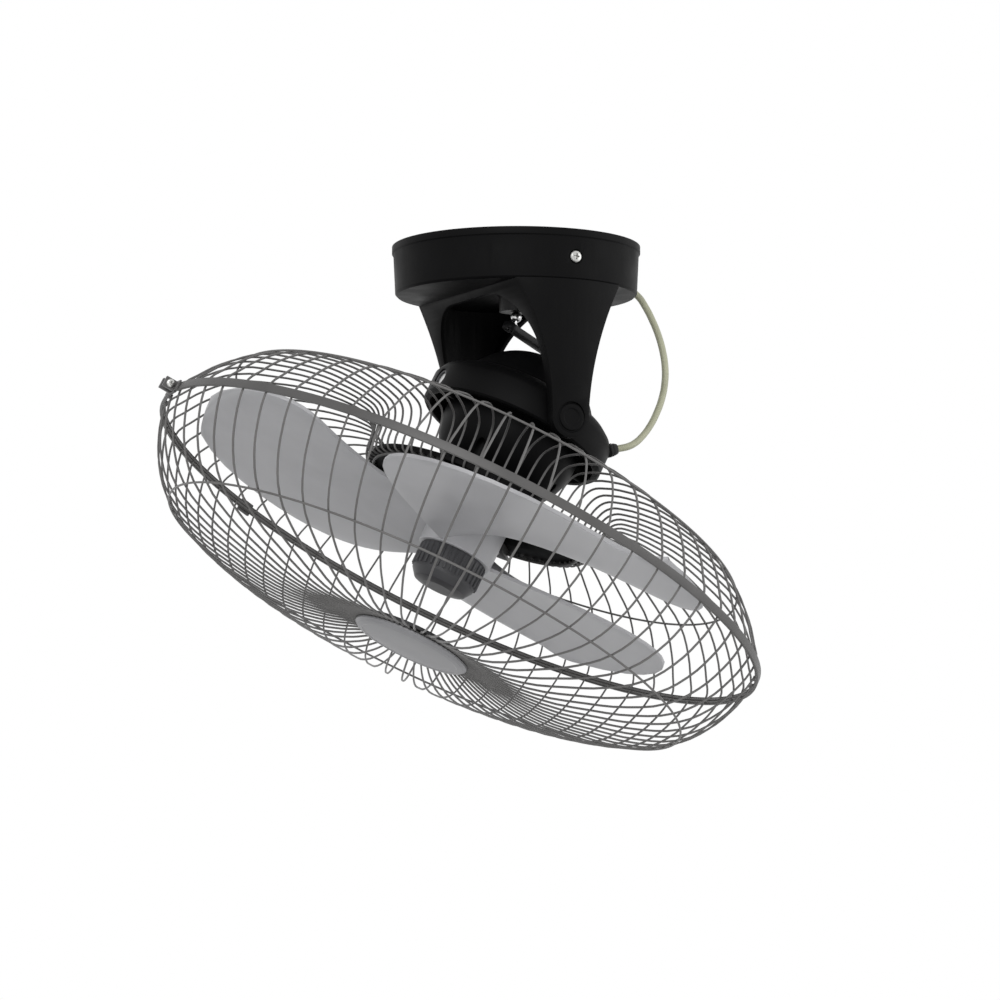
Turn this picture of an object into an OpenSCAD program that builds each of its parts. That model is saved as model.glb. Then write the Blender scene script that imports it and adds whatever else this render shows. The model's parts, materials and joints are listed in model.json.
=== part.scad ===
// Orbital ceiling fan: a round ceiling canopy moulded in one with a two-armed
// yoke, a gimbal ring hung between the arms, and a motor head that carries a
// wire guard, three blades and the crank that swings the head in a circle.
// Frame: the origin is the middle of the ceiling face, +Z is up and the yoke
// arms lie at -Y (front) and +Y (back). The head leans toward -X by head_tilt.
// Head frame: origin at the gimbal centre, +Z toward the rear of the head, so
// the air leaves toward -Z. Lengths are millimetres.

/* [Canopy] */
// Diameter of the canopy at its top lip
canopy_d = 176; // [168:1:190]
// Height of the canopy from the ceiling to its flat underside
canopy_h = 34.5; // [32:0.5:38]
// How far the wall draws in from the lip to the underside, on the radius
canopy_draw = 2.3; // [1.5:0.1:3]
// Height of the lip at the ceiling
lip_h = 5.5; // [4:0.5:8]
// Thickness of the wall at the underside
wall_t = 2.2; // [1.8:0.1:2.8]
// Thickness of the canopy floor
floor_t = 2.5; // [2:0.1:3.5]
// Drop of the two side screws below the ceiling
side_screw_drop = 18.7; // [15:0.1:21]

/* [Ceiling plate] */
// Thickness of the steel ceiling plate
plate_t = 2; // [1.5:0.1:3]
// Pitch circle diameter of the ceiling screws
ceiling_pcd = 120; // [100:1:130]
// Diameter of each ceiling screw hole
ceiling_hole_d = 5.5; // [4.5:0.1:6.5]
// Diameter of the hole for the supply cable
cable_hole_d = 24; // [18:1:30]

/* [Yoke] */
// Drop of the gimbal centre below the ceiling
pivot_drop = 127; // [122:0.5:134]
// Width of an arm where it leaves the canopy
arm_top_w = 80; // [74:1:84]
// Diameter of the rounded arm end
arm_tip_d = 28; // [26:0.5:30]
// Depth of an arm at the gimbal centre, from its inside to its outer skin
arm_depth = 8; // [7:0.25:10]
// Thickness of an arm's outer skin
arm_skin_t = 4.5; // [3.5:0.1:5]
// Thickness of an arm's side flanges
arm_flange_t = 3; // [2.5:0.1:4]
// Clearance between the gimbal ring and the inside of the arms
arch_gap = 4; // [3.5:0.1:4.5]
// Drop of the top of the arch below the ceiling
arch_drop = 39; // [38.5:0.25:41]
// Radius of the arch
arch_r = 45; // [42:0.5:48]

/* [Gimbal] */
// Outside radius of the gimbal ring
ring_r = 68; // [67:0.1:69]
// Thickness of the ring's upright wall
ring_t = 5; // [4:0.25:5.5]
// Height of the ring's upright wall
ring_h = 19; // [18:0.5:22]
// Diameter of the four gimbal pins
pin_d = 10; // [8:0.25:11]
// Wall of the bushes round the pins
bush_t = 2; // [1.5:0.1:2.4]
// Tilt of the head from the vertical at rest, and the half angle of its orbit
head_tilt = 28; // [24:0.5:28.5]

/* [Motor head] */
// Radius of the ball-shaped front shell
ball_r = 50.5; // [49:0.25:51]
// How far the middle of the ball lies in front of the gimbal centre
ball_ahead = 10; // [8:0.5:11]
// Radius of the rear shell's wall
rear_r = 49.5; // [48.5:0.25:50]
// Radius of the rear dome about the gimbal centre
dome_r = 54; // [53:0.25:55]
// Wall of both shells
shell_t = 2.5; // [2:0.1:3]
// Radius of the stator laminations
stator_r = 37; // [35:0.5:37.5]
// Height of the stator laminations
stator_h = 24; // [20:1:25]
// Air gap between stator and rotor
air_gap = 0.4; // [0.3:0.05:0.6]
// Diameter of the motor shaft
shaft_d = 8; // [7:0.5:9]

/* [Guard] */
// Radius of the guard's rim wires
rim_r = 225; // [218:1:232]
// Distance of the rim plane in front of the gimbal centre
rim_ahead = 101; // [98:0.5:104]
// Thickness of a guard wire
wire_t = 1.5; // [1.4:0.1:2.2]
// Thickness of the rim and centre rings
rim_t = 2; // [1.8:0.1:2.4]
// Number of wires in each half of the guard
wire_count = 64; // [48:4:72]
// Depth of the front half from the rim to the badge
front_depth = 71; // [66:1:76]
// Depth of the rear half from the rim to its shoulder
rear_depth = 64; // [60:0.5:66]
// Radius of the badge
badge_r = 42; // [38:1:46]

/* [Blades] */
// Radius swept by the blade tips
blade_r = 198; // [185:1:202]
// Half of the axial depth of the blades
blade_amp = 11; // [9:0.5:12]
// Thickness of the blades
blade_t = 2.4; // [2:0.1:3.2]
// Radius of the impeller hub
hub_r = 27; // [25.5:0.25:30]
// Radius of the blade nut
spinner_r = 24; // [21:0.5:25]
// Length of the blade nut
spinner_h = 26; // [22:0.5:30]

/* [Cord] */
// Diameter of the lead between canopy and gimbal ring
cord_d = 5; // [4.2:0.1:5.6]

/* [Hidden] */
$fn = 64;
fit = 0.05;          // running clearance on a radius
gap = 0.3;           // clearance between faces of different bodies
seat_fit = 0.2;      // clearance round a piece that sits in a hole of its own body
canopy_r = canopy_d / 2;
canopy_bot_r = canopy_r - canopy_draw;
canopy_in_r = canopy_bot_r - wall_t;
lip_t = 1;
arm_top_r = canopy_bot_r;
arch_half = ring_r + arch_gap;
arm_pivot_r = arch_half + arm_depth;
// the concave side of an arm is one arc, upright at the gimbal centre
arm_dz = pivot_drop - canopy_h;
arm_dx = (arm_top_w - arm_tip_d) / 2;
arm_edge_r = (arm_dz * arm_dz + arm_dx * arm_dx) / (2 * arm_dx);
arm_low = pivot_drop + arm_tip_d / 2 + 2;
cut_in = arch_half - 12;     // the bores through an arm start and end well clear of it
cut_out = canopy_r + 12;
function arm_r(drop) = arm_top_r
    + (arm_pivot_r - arm_top_r) * (drop - canopy_h) / arm_dz;
pin_r = pin_d / 2;
bush_r = pin_r + fit + bush_t;
cap_r = 10.5;
cap_t = 2.6;
cap_seat = arm_pivot_r - cap_t;
boss_r = max(cap_r - 1.5, bush_r + 1.6);
flange_y = arch_half - 1.1;
ring_in = ring_r - ring_t;
ring_boss_y = flange_y - 0.1;
// head
yoke_boss_in = dome_r + 5;   // the yoke pins end this far out, clear of the swinging dome
bush_len = 9.5;
ring_lip_r = dome_r + 2;     // inner edge of the ring's shoulder
head_boss_in = ring_r - 1 - bush_len;
pin_boss_x = head_boss_in - gap;
nose_r = 30;
nose_z = ball_ahead + ball_r - 4.5;      // front face of the nose, in front of centre
split_z = 8;                             // shells part this far in front of centre
dome_top = dome_r - 2;
stator_mid = 10;
stator_front = stator_mid + stator_h / 2;
stator_rear = stator_mid - stator_h / 2;
stator_in = 19;
coil_h = 8;
coil_in = 21;
coil_out = 32;
rotor_r = stator_in - air_gap;
shaft_r = shaft_d / 2;
bearing_r = shaft_r + 4;
bracket_z = 20;
bracket_t = 1.5;
ledge_t = 2.5;
swing_r = 24.5;
swing_h = 18;
swing_z = bracket_z + bracket_t;
shell_screw_r = 42;
// crank: its ball runs on a sphere about the gimbal centre
crank_shaft_r = 3;
ball_pin_r = 4;
crank_dist = 78;
crank_off = crank_dist * sin(head_tilt);
crank_up = crank_dist * cos(head_tilt);
crank_bar_z = dome_top + 6;
crank_bar_t = 4;
socket_face = crank_dist + ball_pin_r + 0.4;
socket_r = 12;
socket_flange_r = 21;
socket_screw_r = 16.5;
// guard mounting
mount_t = 3.5;
mount_rim_r = 83.5;
mount_rim_z = rim_ahead - 35;
collar_r = 50;
mount_screw_r = 22;      // circle of the screws that hold the mount to the shell
wire_seat_z = mount_rim_z + wire_t / 2;
centre_ring_r = 79;
centre_ring_z = mount_rim_z + wire_t + rim_t / 2 - 0.3;
clamp_bottom = centre_ring_z + rim_t / 2 + 0.1;
clamp_screw_r = centre_ring_r - 10;
well_r = 91;
band_t = 0.6;
hub_back = rim_ahead - 25;
hub_front = rim_ahead + 3;
blade_mid = rim_ahead - 10;
badge_z = rim_ahead + front_depth;
badge_ring_r = badge_r - 4;
badge_screw_r = badge_ring_r - 14;
badge_screw_len = 6;
buckle_at = 175;      // where the band closes, degrees round the head
clip_at = 112;        // where the guard's clip sits
gland_at = -25;       // where the lead enters the gimbal ring
cord_out_at = -4;    // where the lead leaves the canopy
cord_r = cord_d / 2;
grommet_drop = 25;
gland_r = 5;

// ---------------------------------------------------------------- helpers
module on_head() {
    translate([0, 0, -pivot_drop]) rotate([0, head_tilt, 0]) children();
}
module at_pivot() { translate([0, 0, -pivot_drop]) children(); }
// a cylinder along Y, from radius a out to radius b on the side s
module y_rod(s, a, b, r) {
    rotate([s > 0 ? -90 : 90, 0, 0]) translate([0, 0, a]) cylinder(r = r, h = b - a);
}
// the same along X
module x_rod(s, a, b, r) {
    rotate([0, s > 0 ? 90 : -90, 0]) translate([0, 0, a]) cylinder(r = r, h = b - a);
}
// a flat ring or disc in the head frame, from depth a to depth b in front
module front_disc(a, b, r) { translate([0, 0, -b]) cylinder(r = r, h = b - a); }
module around(n, at = 0) { for (i = [0 : n - 1]) rotate([0, 0, at + i * 360 / n]) children(); }
// a pan head screw with its head's seat at z = 0 and its shank toward -Z
module screw(d, len, head_r, head_h) {
    difference() {
        union() {
            cylinder(r = head_r, h = head_h);
            translate([0, 0, -len]) cylinder(r = d / 2, h = len + 0.1);
        }
        for (a = [0, 90]) rotate([0, 0, a])
            translate([-head_r * 0.6, -0.5, head_h * 0.5]) cube([head_r * 1.2, 1, head_h]);
    }
}

// ---------------------------------------------------------------- ceiling mount and yoke
module ceiling_plate() {
    tab_w = 22;
    color("lightgrey") difference() {
        union() {
            translate([0, 0, -plate_t]) cylinder(r = canopy_in_r - 0.5, h = plate_t);
            for (s = [-1, 1]) intersection() {
                translate([0, 0, -side_screw_drop - 7])
                    difference() {
                        cylinder(r = canopy_in_r, h = side_screw_drop + 7 - 0.01);
                        translate([0, 0, -1]) cylinder(r = canopy_in_r - plate_t,
                            h = side_screw_drop + 10);
                    }
                translate([-tab_w / 2, s > 0 ? cut_in : -cut_out, -canopy_h])
                    cube([tab_w, cut_out - cut_in, canopy_h]);
            }
        }
        translate([0, 0, -plate_t - 1]) cylinder(d = cable_hole_d, h = plate_t + 2);
        around(4, 45) translate([ceiling_pcd / 2, 0, -plate_t - 1])
            cylinder(d = ceiling_hole_d, h = plate_t + 2);
        translate([0, 0, -side_screw_drop]) for (s = [-1, 1]) y_rod(s, cut_in, cut_out, side_screw_r);
        translate([-earth_x, 0, -plate_t - 1]) cylinder(r = 2, h = plate_t + 2);
        at_block_screws() translate([0, 0, -plate_t - 1]) cylinder(r = block_screw_r, h = plate_t + 2);
    }
}
terminal_y = 38;
terminal_w = 32;
terminal_h = 14;
terminal_pitch = 10;
earth_x = 42;
block_screw_r = 1.25;
module at_block_screws() {
    for (s = [-1, 1]) translate([s * terminal_pitch / 2, terminal_y, 0]) children();
}
module arm_shape(inset) {
    difference() {
        translate([-arm_top_w / 2 - 1, -pivot_drop])
            square([arm_top_w + 2, pivot_drop - canopy_h + 1]);
        for (s = [-1, 1]) translate([s * (arm_edge_r + arm_tip_d / 2), -pivot_drop])
            circle(r = arm_edge_r + inset, $fn = 128);
    }
    translate([0, -pivot_drop]) circle(r = arm_tip_d / 2 - inset);
}
module arch_shape() {
    c = arch_half - arch_r;
    z = -arch_drop - arch_r;
    translate([-c, z]) square([2 * c, arch_r]);
    for (s = [-1, 1]) translate([s * c, z]) circle(r = arch_r, $fn = 128);
    translate([-arch_half, -arm_low - 10]) square([2 * arch_half, arm_low + 10 + z]);
}
module canopy_yoke() {
    color([0.09, 0.09, 0.1]) difference() {
        union() {
            rotate_extrude($fn = 128) polygon([[canopy_in_r, 0], [canopy_r, 0],
                [canopy_r, -lip_h + 0.8], [canopy_r - lip_t, -lip_h],
                [canopy_bot_r, -canopy_h + 1.5], [canopy_bot_r - 1.5, -canopy_h],
                [0, -canopy_h], [0, -canopy_h + floor_t],
                [canopy_in_r, -canopy_h + floor_t]]);
            difference() {
                intersection() {
                    rotate_extrude($fn = 128) polygon([[0, -canopy_h + 0.5],
                        [arm_r(canopy_h - 0.5), -canopy_h + 0.5],
                        [arm_r(arm_low), -arm_low], [0, -arm_low]]);
                    rotate([90, 0, 0]) linear_extrude(height = 2 * canopy_r, center = true)
                        arm_shape(0);
                }
                intersection() {
                    rotate_extrude($fn = 128) polygon([[0, -canopy_h],
                        [arm_r(canopy_h) - arm_skin_t, -canopy_h],
                        [arm_r(arm_low) - arm_skin_t, -arm_low], [0, -arm_low]]);
                    rotate([90, 0, 0]) linear_extrude(height = 2 * canopy_r, center = true)
                        difference() {
                            arm_shape(arm_flange_t);
                            translate([0, -pivot_drop]) circle(r = boss_r);
                        }
                }
                rotate([90, 0, 90]) linear_extrude(height = 3 * arm_top_w, center = true)
                    arch_shape();
            }
        }
        // side screws with flat seats
        translate([0, 0, -side_screw_drop]) for (s = [-1, 1]) {
            y_rod(s, cut_in, cut_out, side_screw_r + seat_fit);
            y_rod(s, side_seat, cut_out, side_head_r + 0.75);
        }
        // bush bores and cap recesses
        at_pivot() for (s = [-1, 1]) {
            y_rod(s, cut_in, cut_out, bush_r);
            y_rod(s, cap_seat, cut_out, cap_r);
        }
        // the crank socket and its screws
        translate([0, 0, -canopy_h - 1]) cylinder(r = socket_r + seat_fit, h = floor_t + 2);
        around(3, 90) translate([socket_screw_r, 0, -canopy_h - 1]) cylinder(r = 1.5, h = floor_t + 2);
        // lead outlet
        rotate([0, 0, cord_out_at]) translate([0, 0, -grommet_drop])
            x_rod(1, canopy_in_r - 10, cut_out, grommet_r);
    }
}
side_seat = canopy_bot_r - 0.5;
side_screw_len = 9;
side_head_r = 4.25;
grommet_r = cord_r + 1.8;
cord_fit = 0.15;      // clearance round the lead in its grommet and gland
side_screw_r = 2;
module canopy_screws() {
    color("silver") translate([0, 0, -side_screw_drop]) for (s = [-1, 1])
        rotate([s > 0 ? -90 : 90, 0, 0]) translate([0, 0, side_seat])
            screw(2 * side_screw_r, side_screw_len, side_head_r, 2.4);
}
module terminal_block() {
    color("ivory") difference() {
        translate([-terminal_w / 2, terminal_y - 8, -plate_t - terminal_h])
            cube([terminal_w, 16, terminal_h]);
        for (x = [-terminal_pitch, 0, terminal_pitch]) {
            translate([x, terminal_y, -plate_t - 10]) rotate([90, 0, 0])
                cylinder(r = 2, h = 30, center = true);
            translate([x, terminal_y, -plate_t - terminal_h - 1]) cylinder(r = 1.5, h = 5);
        }
        at_block_screws() translate([0, 0, -plate_t - terminal_h - 1])
            cylinder(r = block_screw_r + seat_fit, h = terminal_h + 2);
    }
}
module terminal_screws() {
    color("gold") for (x = [-terminal_pitch, 0, terminal_pitch])
        translate([x, terminal_y, -plate_t - terminal_h + 1.5]) rotate([180, 0, 0])
            screw(2, 1.6, 1.5, 1.4);
}
module block_screws() {
    color("silver") at_block_screws() translate([0, 0, -plate_t - terminal_h])
        rotate([180, 0, 0]) screw(2 * block_screw_r, plate_t + terminal_h - 0.3, 2.2, 1.6);
}
module earth_screw() {
    color("silver") translate([-earth_x, 0, -plate_t]) rotate([180, 0, 0])
        screw(4, plate_t, 3.8, 2.4);
}
cap_size = [36, 17, 22];
cap_y = -56;
clip_t = 1.2;
clip_w = 12;
module capacitor() {
    color("whitesmoke") translate([-cap_size[0] / 2, cap_y, -plate_t - cap_size[2]]) cube(cap_size);
}
module capacitor_clip() {
    color("lightgrey") difference() {
        translate([-clip_w / 2, cap_y - 2.2, -plate_t - cap_size[2] - clip_t])
            cube([clip_w, cap_size[1] + 4.4, cap_size[2] + clip_t]);
        translate([-clip_w, cap_y, -plate_t - cap_size[2]])
            cube([2 * clip_w, cap_size[1], cap_size[2] + 1]);
    }
}
module crank_socket() {
    color([0.1, 0.1, 0.11]) difference() {
        union() {
            translate([0, 0, -pivot_drop + socket_face - 3])
                cylinder(r = socket_r, h = pivot_drop - socket_face + 3 - canopy_h + floor_t);
            translate([0, 0, -canopy_h + floor_t]) cylinder(r = socket_flange_r, h = 2.5);
        }
        at_pivot() sphere(r = socket_face, $fn = 128);
        translate([0, 0, -canopy_h - 20]) cylinder(r = ball_pin_r + 0.3, h = 24);
        around(3, 90) translate([socket_screw_r, 0, -canopy_h]) cylinder(r = 1.7, h = floor_t + 5);
    }
}
module socket_screws() {
    color("silver") around(3, 90) translate([socket_screw_r, 0, -canopy_h + floor_t + 2.5])
        screw(3, floor_t + 2.5, 2.9, 2);
}
module cord_grommet() {
    color("black") rotate([0, 0, cord_out_at]) translate([0, 0, -grommet_drop]) difference() {
        union() {
            x_rod(1, canopy_in_r - 2.2, canopy_r + 2.5, grommet_r);
            x_rod(1, canopy_in_r - 2.2, canopy_in_r - 0.4, grommet_r + 1.8);
            x_rod(1, canopy_bot_r + 0.9, canopy_r + 0.6, grommet_r + 1.4);
        }
        x_rod(1, canopy_in_r - 10, cut_out, cord_r + cord_fit);
    }
}
module yoke_bushes() {
    color([0.16, 0.16, 0.17]) at_pivot() for (s = [-1, 1]) difference() {
        union() {
            y_rod(s, flange_y, cap_seat, bush_r);
            y_rod(s, flange_y, arch_half, bush_r + 1.5);
        }
        y_rod(s, flange_y - 1, cap_seat + 1, pin_r + fit);
    }
}
module pivot_caps() {
    color([0.1, 0.1, 0.11]) at_pivot() for (s = [-1, 1]) {
        y_rod(s, cap_seat, cap_seat + 1.8, cap_r);
        y_rod(s, cap_seat, cap_seat + 2.8, cap_r - 1.2);
    }
}

// ---------------------------------------------------------------- lead cord
// Points of the lead from the canopy's grommet to the gland on the gimbal ring
cord_points = [[78, -5.5, -25], [86, -6, -25], [91.2, -6.4, -25.1], [96.6, -7.2, -28.4],
    [101.8, -8.4, -35.6], [106.5, -10, -45], [110.6, -11.8, -56], [113.2, -13.8, -68],
    [113.8, -16, -80], [112, -18.4, -92], [107.8, -21, -103.8], [101.5, -23.8, -115],
    [94, -26.6, -125], [86, -29.2, -132.8], [78.5, -31.4, -138], [72.2, -32.2, -140.7],
    [66.2, -30.5, -142.1], [62.4, -29.2, -143]];
// and its run inside the canopy, from the grommet to the terminal block
inner_points = [[78, -5.5, -25], [70, -5, -25], [61.5, -2.5, -24], [53, 3.5, -21.5],
    [44.5, 12, -18], [36, 22, -14.5], [28, 30.5, -12.5], [21.5, 35.2, -12], [16.4, 36, -12]];
cord_sides = 10;
function unit(v) = v / norm(v);
function tangent(p, i) = unit(p[min(i + 1, len(p) - 1)] - p[max(i - 1, 0)]);
function side_dir(p, i) = unit(cross(tangent(p, i), [0.3, 0.95, 0.1]));
function ring_points(p, r, n) = [for (i = [0 : len(p) - 1]) let (t = tangent(p, i),
    u = side_dir(p, i), v = cross(t, u)) for (k = [0 : n - 1])
    p[i] + r * (cos(k * 360 / n) * u + sin(k * 360 / n) * v)];
function tube_faces(m, n) = concat([[for (k = [0 : n - 1]) k]],
    [for (i = [0 : m - 2]) for (k = [0 : n - 1]) for (h = [0, 1]) let (a = i * n + k,
        b = i * n + (k + 1) % n) h == 0 ? [a, a + n, b + n] : [a, b + n, b]],
    [[for (k = [n - 1 : -1 : 0]) (m - 1) * n + k]]);
module lead_cord() {
    color([0.66, 0.66, 0.54]) polyhedron(points = ring_points(cord_points, cord_r, cord_sides),
        faces = tube_faces(len(cord_points), cord_sides), convexity = 6);
}
module inner_lead() {
    color([0.66, 0.66, 0.54]) polyhedron(points = ring_points(inner_points, cord_r, cord_sides),
        faces = tube_faces(len(inner_points), cord_sides), convexity = 6);
}

// ---------------------------------------------------------------- gimbal ring
module gimbal_ring() {
    h = ring_h / 2;
    w = ring_r - ring_lip_r;     // width of the shoulder
    color([0.1, 0.1, 0.11]) on_head() difference() {
        union() {
            rotate_extrude($fn = 128) polygon([[ring_in, -h], [ring_r - 1.5, -h],
                [ring_r, -h + 1.5], [ring_r, h - 0.5], [ring_r - 0.2 * w, h + 4.5],
                [ring_r - 0.6 * w, h + 8.5], [ring_lip_r, h + 10.5], [ring_lip_r, h + 7.7],
                [ring_r - 0.7 * w, h + 6], [ring_r - 0.5 * w, h + 3], [ring_in, h - 0.5]]);
            for (s = [-1, 1]) {
                y_rod(s, yoke_boss_in, ring_boss_y, bush_r + 2);
                x_rod(s, head_boss_in, ring_r - 1, bush_r + 2);
            }
            gland_boss();
        }
        for (s = [-1, 1]) {
            y_rod(s, yoke_boss_in - 1, ring_boss_y + 1, pin_r);
            x_rod(s, head_boss_in - 1, ring_r + 1, bush_r);
        }
        gland_at_ring() translate([0, 0, -20]) cylinder(r = gland_r - 1.5, h = 40);
    }
}
// the gland's own frame: +Z points out of the ring's shoulder
module gland_at_ring() {
    w = ring_r - ring_lip_r;
    rotate([0, 0, gland_at]) translate([ring_r - 0.2 * w, 0, ring_h / 2 + 3])
        rotate([0, atan2(9, 0.6 * w), 0]) children();
}
module gland_boss() {
    gland_at_ring() translate([0, 0, -3]) cylinder(r = gland_r, h = 5);
}
module cord_gland() {
    color("black") on_head() gland_at_ring() difference() {
        union() {
            translate([0, 0, 2]) cylinder(r = gland_r, h = 2);
            translate([0, 0, 4]) cylinder(r1 = gland_r - 0.6, r2 = cord_r + 1, h = 3.5);
            translate([0, 0, -3.5]) cylinder(r = gland_r - 1.5, h = 6);
        }
        translate([0, 0, -5]) cylinder(r = cord_r + cord_fit, h = 20);
    }
}
module yoke_pins() {
    color("silver") on_head() for (s = [-1, 1])
        y_rod(s, yoke_boss_in, cap_seat - 0.2, pin_r);
}
module ring_bushes() {
    color([0.16, 0.16, 0.17]) on_head() for (s = [-1, 1]) difference() {
        x_rod(s, head_boss_in, ring_r - 1, bush_r);
        x_rod(s, head_boss_in - 1, ring_r, pin_r + fit);
    }
}

// ---------------------------------------------------------------- motor head
module rear_form(in) {
    intersection() {
        translate([0, 0, -split_z - (in > 0 ? 1 : 0)]) cylinder(r = rear_r - in, h = 100, $fn = 128);
        sphere(r = dome_r - in, $fn = 128);
        translate([-80, -80, -60]) cube([160, 160, 60 + dome_top - in]);
    }
}
module motor_rear_shell() {
    color([0.08, 0.08, 0.09]) on_head() difference() {
        union() {
            difference() {
                rear_form(0);
                rear_form(shell_t);
            }
            // ledge over the rear bracket
            intersection() {
                translate([0, 0, bracket_z + bracket_t]) difference() {
                    cylinder(r = rear_r - 1, h = ledge_t);
                    translate([0, 0, -1]) cylinder(r = rear_r - shell_t - 5, h = ledge_t + 2);
                }
                sphere(r = dome_r - 1);
            }
            for (s = [-1, 1]) x_rod(s, rear_r - shell_t - 3, pin_boss_x, pin_r + 3);
            // screw posts, joined to the wall by webs
            around(4, 45) translate([shell_screw_r, 0, -split_z]) {
                cylinder(r = 4, h = 16);
                translate([0, -3, 0]) cube([rear_r - shell_t / 2 - shell_screw_r, 6, 16]);
            }
            // collar round the crank shaft
            translate([0, 0, dome_top - shell_t - 3]) cylinder(r = crank_shaft_r + 3,
                h = shell_t + 3 + 1);
        }
        for (s = [-1, 1]) x_rod(s, 30, pin_boss_x + 1, pin_r);
        around(4, 45) translate([shell_screw_r, 0, -split_z - 1]) cylinder(r = 1.5, h = 13);
        around(3, 0) translate([bracket_screw_r, 0, bracket_z]) cylinder(r = 1.25, h = 6);
        cylinder(r = crank_shaft_r + gap, h = 100);
    }
}
bracket_screw_r = rear_r - shell_t - 2.6;
module front_form(in) {
    intersection() {
        union() {
            translate([0, 0, -ball_ahead]) sphere(r = ball_r - in, $fn = 128);
            front_disc(nose_z - 8, nose_z - in, nose_r - in);
        }
        translate([-80, -80, -nose_z + in]) cube([160, 160, nose_z - split_z - in + (in > 0 ? 1 : 0)]);
    }
}
module motor_front_shell() {
    color([0.08, 0.08, 0.09]) on_head() difference() {
        union() {
            difference() {
                front_form(0);
                front_form(shell_t);
            }
            // bearing housing
            front_disc(nose_z - 18, nose_z - 1, bearing_r + 3);
            // seats for the laminations
            intersection() {
                around(4, 0) translate([stator_r - 4, -7, -stator_front - 4])
                    cube([20, 14, stator_front + 4 - split_z]);
                front_form(1);
            }
            // screw posts
            intersection() {
                around(4, 45) translate([shell_screw_r, 0, -ball_ahead - ball_r])
                    cylinder(r = 5.5, h = ball_ahead + ball_r - split_z);
                front_form(0.5);
            }
        }
        front_disc(stator_rear, stator_front, stator_r);
        front_disc(nose_z - 19, nose_z - 3, bearing_r);
        front_disc(nose_z - 20, nose_z + 1, shaft_r + 1);
        around(4, 45) translate([shell_screw_r, 0, 0]) {
            front_disc(0, 80, 1.7);
            front_disc(split_z + 6, 80, 4);
        }
        around(4, 0) translate([mount_screw_r, 0, 0]) front_disc(nose_z - 6, nose_z + 1, 1.5);
        // keep the seats clear of the coils
        front_disc(stator_front, stator_front + coil_h + 1, coil_out + 0.8);
    }
}
module shell_screws() {
    color("silver") on_head() around(4, 45) translate([shell_screw_r, 0, -split_z - 6])
        rotate([180, 0, 0]) screw(3, 16, 3.4, 2.2);
}
module head_pins() {
    color("silver") on_head() for (s = [-1, 1])
        x_rod(s, rear_r - shell_t - 3, ring_r - 2, pin_r);
}
module stator_core() {
    color("grey") on_head() difference() {
        front_disc(stator_rear, stator_front, stator_r);
        front_disc(stator_rear - 1, stator_front + 1, stator_in);
        around(12, 15) translate([coil_in + 1, -1.5, -stator_front - 1])
            cube([coil_out - coil_in - 3, 3, stator_h + 2]);
    }
}
module stator_windings() {
    color("peru") on_head() for (z = [stator_rear - coil_h, stator_front])
        difference() {
            front_disc(z, z + coil_h, coil_out);
            front_disc(z - 1, z + coil_h + 1, coil_in);
        }
}
module front_bearing() {
    color("darkgoldenrod") on_head() difference() {
        front_disc(nose_z - 15, nose_z - 3, bearing_r);
        front_disc(nose_z - 16, nose_z - 2, shaft_r + fit);
    }
}
module rear_bearing() {
    color("darkgoldenrod") on_head() translate([0, 0, bracket_z - 8]) difference() {
        cylinder(r = bearing_r, h = 8);
        translate([0, 0, -1]) cylinder(r = shaft_r + fit, h = 10);
    }
}
module rear_bracket() {
    color("lightgrey") on_head() difference() {
        union() {
            translate([0, 0, bracket_z]) cylinder(r = rear_r - shell_t - 0.2, h = bracket_t);
            translate([0, 0, bracket_z - 8]) cylinder(r = bearing_r + 2, h = 8.5);
        }
        translate([0, 0, bracket_z - 9]) cylinder(r = bearing_r, h = 9);
        around(4, 45) translate([shell_screw_r + 1, 0, bracket_z - 1]) cylinder(r = 5.5, h = 4);
        around(3, 0) translate([bracket_screw_r, 0, bracket_z - 1]) cylinder(r = 1.6, h = 4);
        for (s = [-1, 1]) translate([0, s * swing_ear, bracket_z - 1]) cylinder(r = 1.25, h = 4);
    }
}
module bracket_screws() {
    color("silver") on_head() around(3, 0) translate([bracket_screw_r, 0, bracket_z])
        rotate([180, 0, 0]) screw(2.5, 4.5, 2.2, 1.6);
}
swing_ear = swing_r + 4;
module swing_motor() {
    color("silver") on_head() difference() {
        union() {
            translate([0, 0, swing_z]) cylinder(r = swing_r, h = swing_h);
            for (s = [-1, 1]) translate([-4, s > 0 ? 0 : -swing_ear - 4, swing_z])
                cube([8, swing_ear + 4, 1]);
            translate([0, 0, swing_z + swing_h]) cylinder(r = 7, h = 2);
        }
        translate([0, 0, swing_z + 6]) cylinder(r = crank_shaft_r + fit, h = 40);
        for (s = [-1, 1]) translate([0, s * swing_ear, swing_z - 1]) cylinder(r = 1.6, h = 4);
    }
}
module swing_screws() {
    color("silver") on_head() for (s = [-1, 1]) translate([0, s * swing_ear, swing_z + 1])
        screw(2.5, bracket_t + 1, 2.2, 1.6);
}

// ---------------------------------------------------------------- guard
module guard_mount() {
    z = nose_z;
    color([0.1, 0.1, 0.11]) on_head() difference() {
        union() {
            rotate_extrude($fn = 128) polygon([[shaft_r + 4, -z], [collar_r - 2.5, -z],
                [collar_r - 2.5, -z + 4], [collar_r, -z + 4], [collar_r, -z],
                [mount_rim_r - 7, -mount_rim_z + 3], [mount_rim_r, -mount_rim_z + 3],
                [mount_rim_r, -mount_rim_z], [centre_ring_r - 18, -mount_rim_z],
                [collar_r - 3, -z - mount_t], [shaft_r + 4, -z - mount_t]]);
            // ribs round the collar
            around(24) translate([collar_r - 14, -0.8, -z - 1]) cube([14 - 0.5, 1.6, 5]);
        }
        around(4, 0) translate([mount_screw_r, 0, 0]) front_disc(z - 1, z + 10, 1.7);
        around(4, 45) translate([clamp_screw_r, 0, 0])
            front_disc(mount_rim_z - 10, mount_rim_z + 1, 1.5);
    }
}
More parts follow.
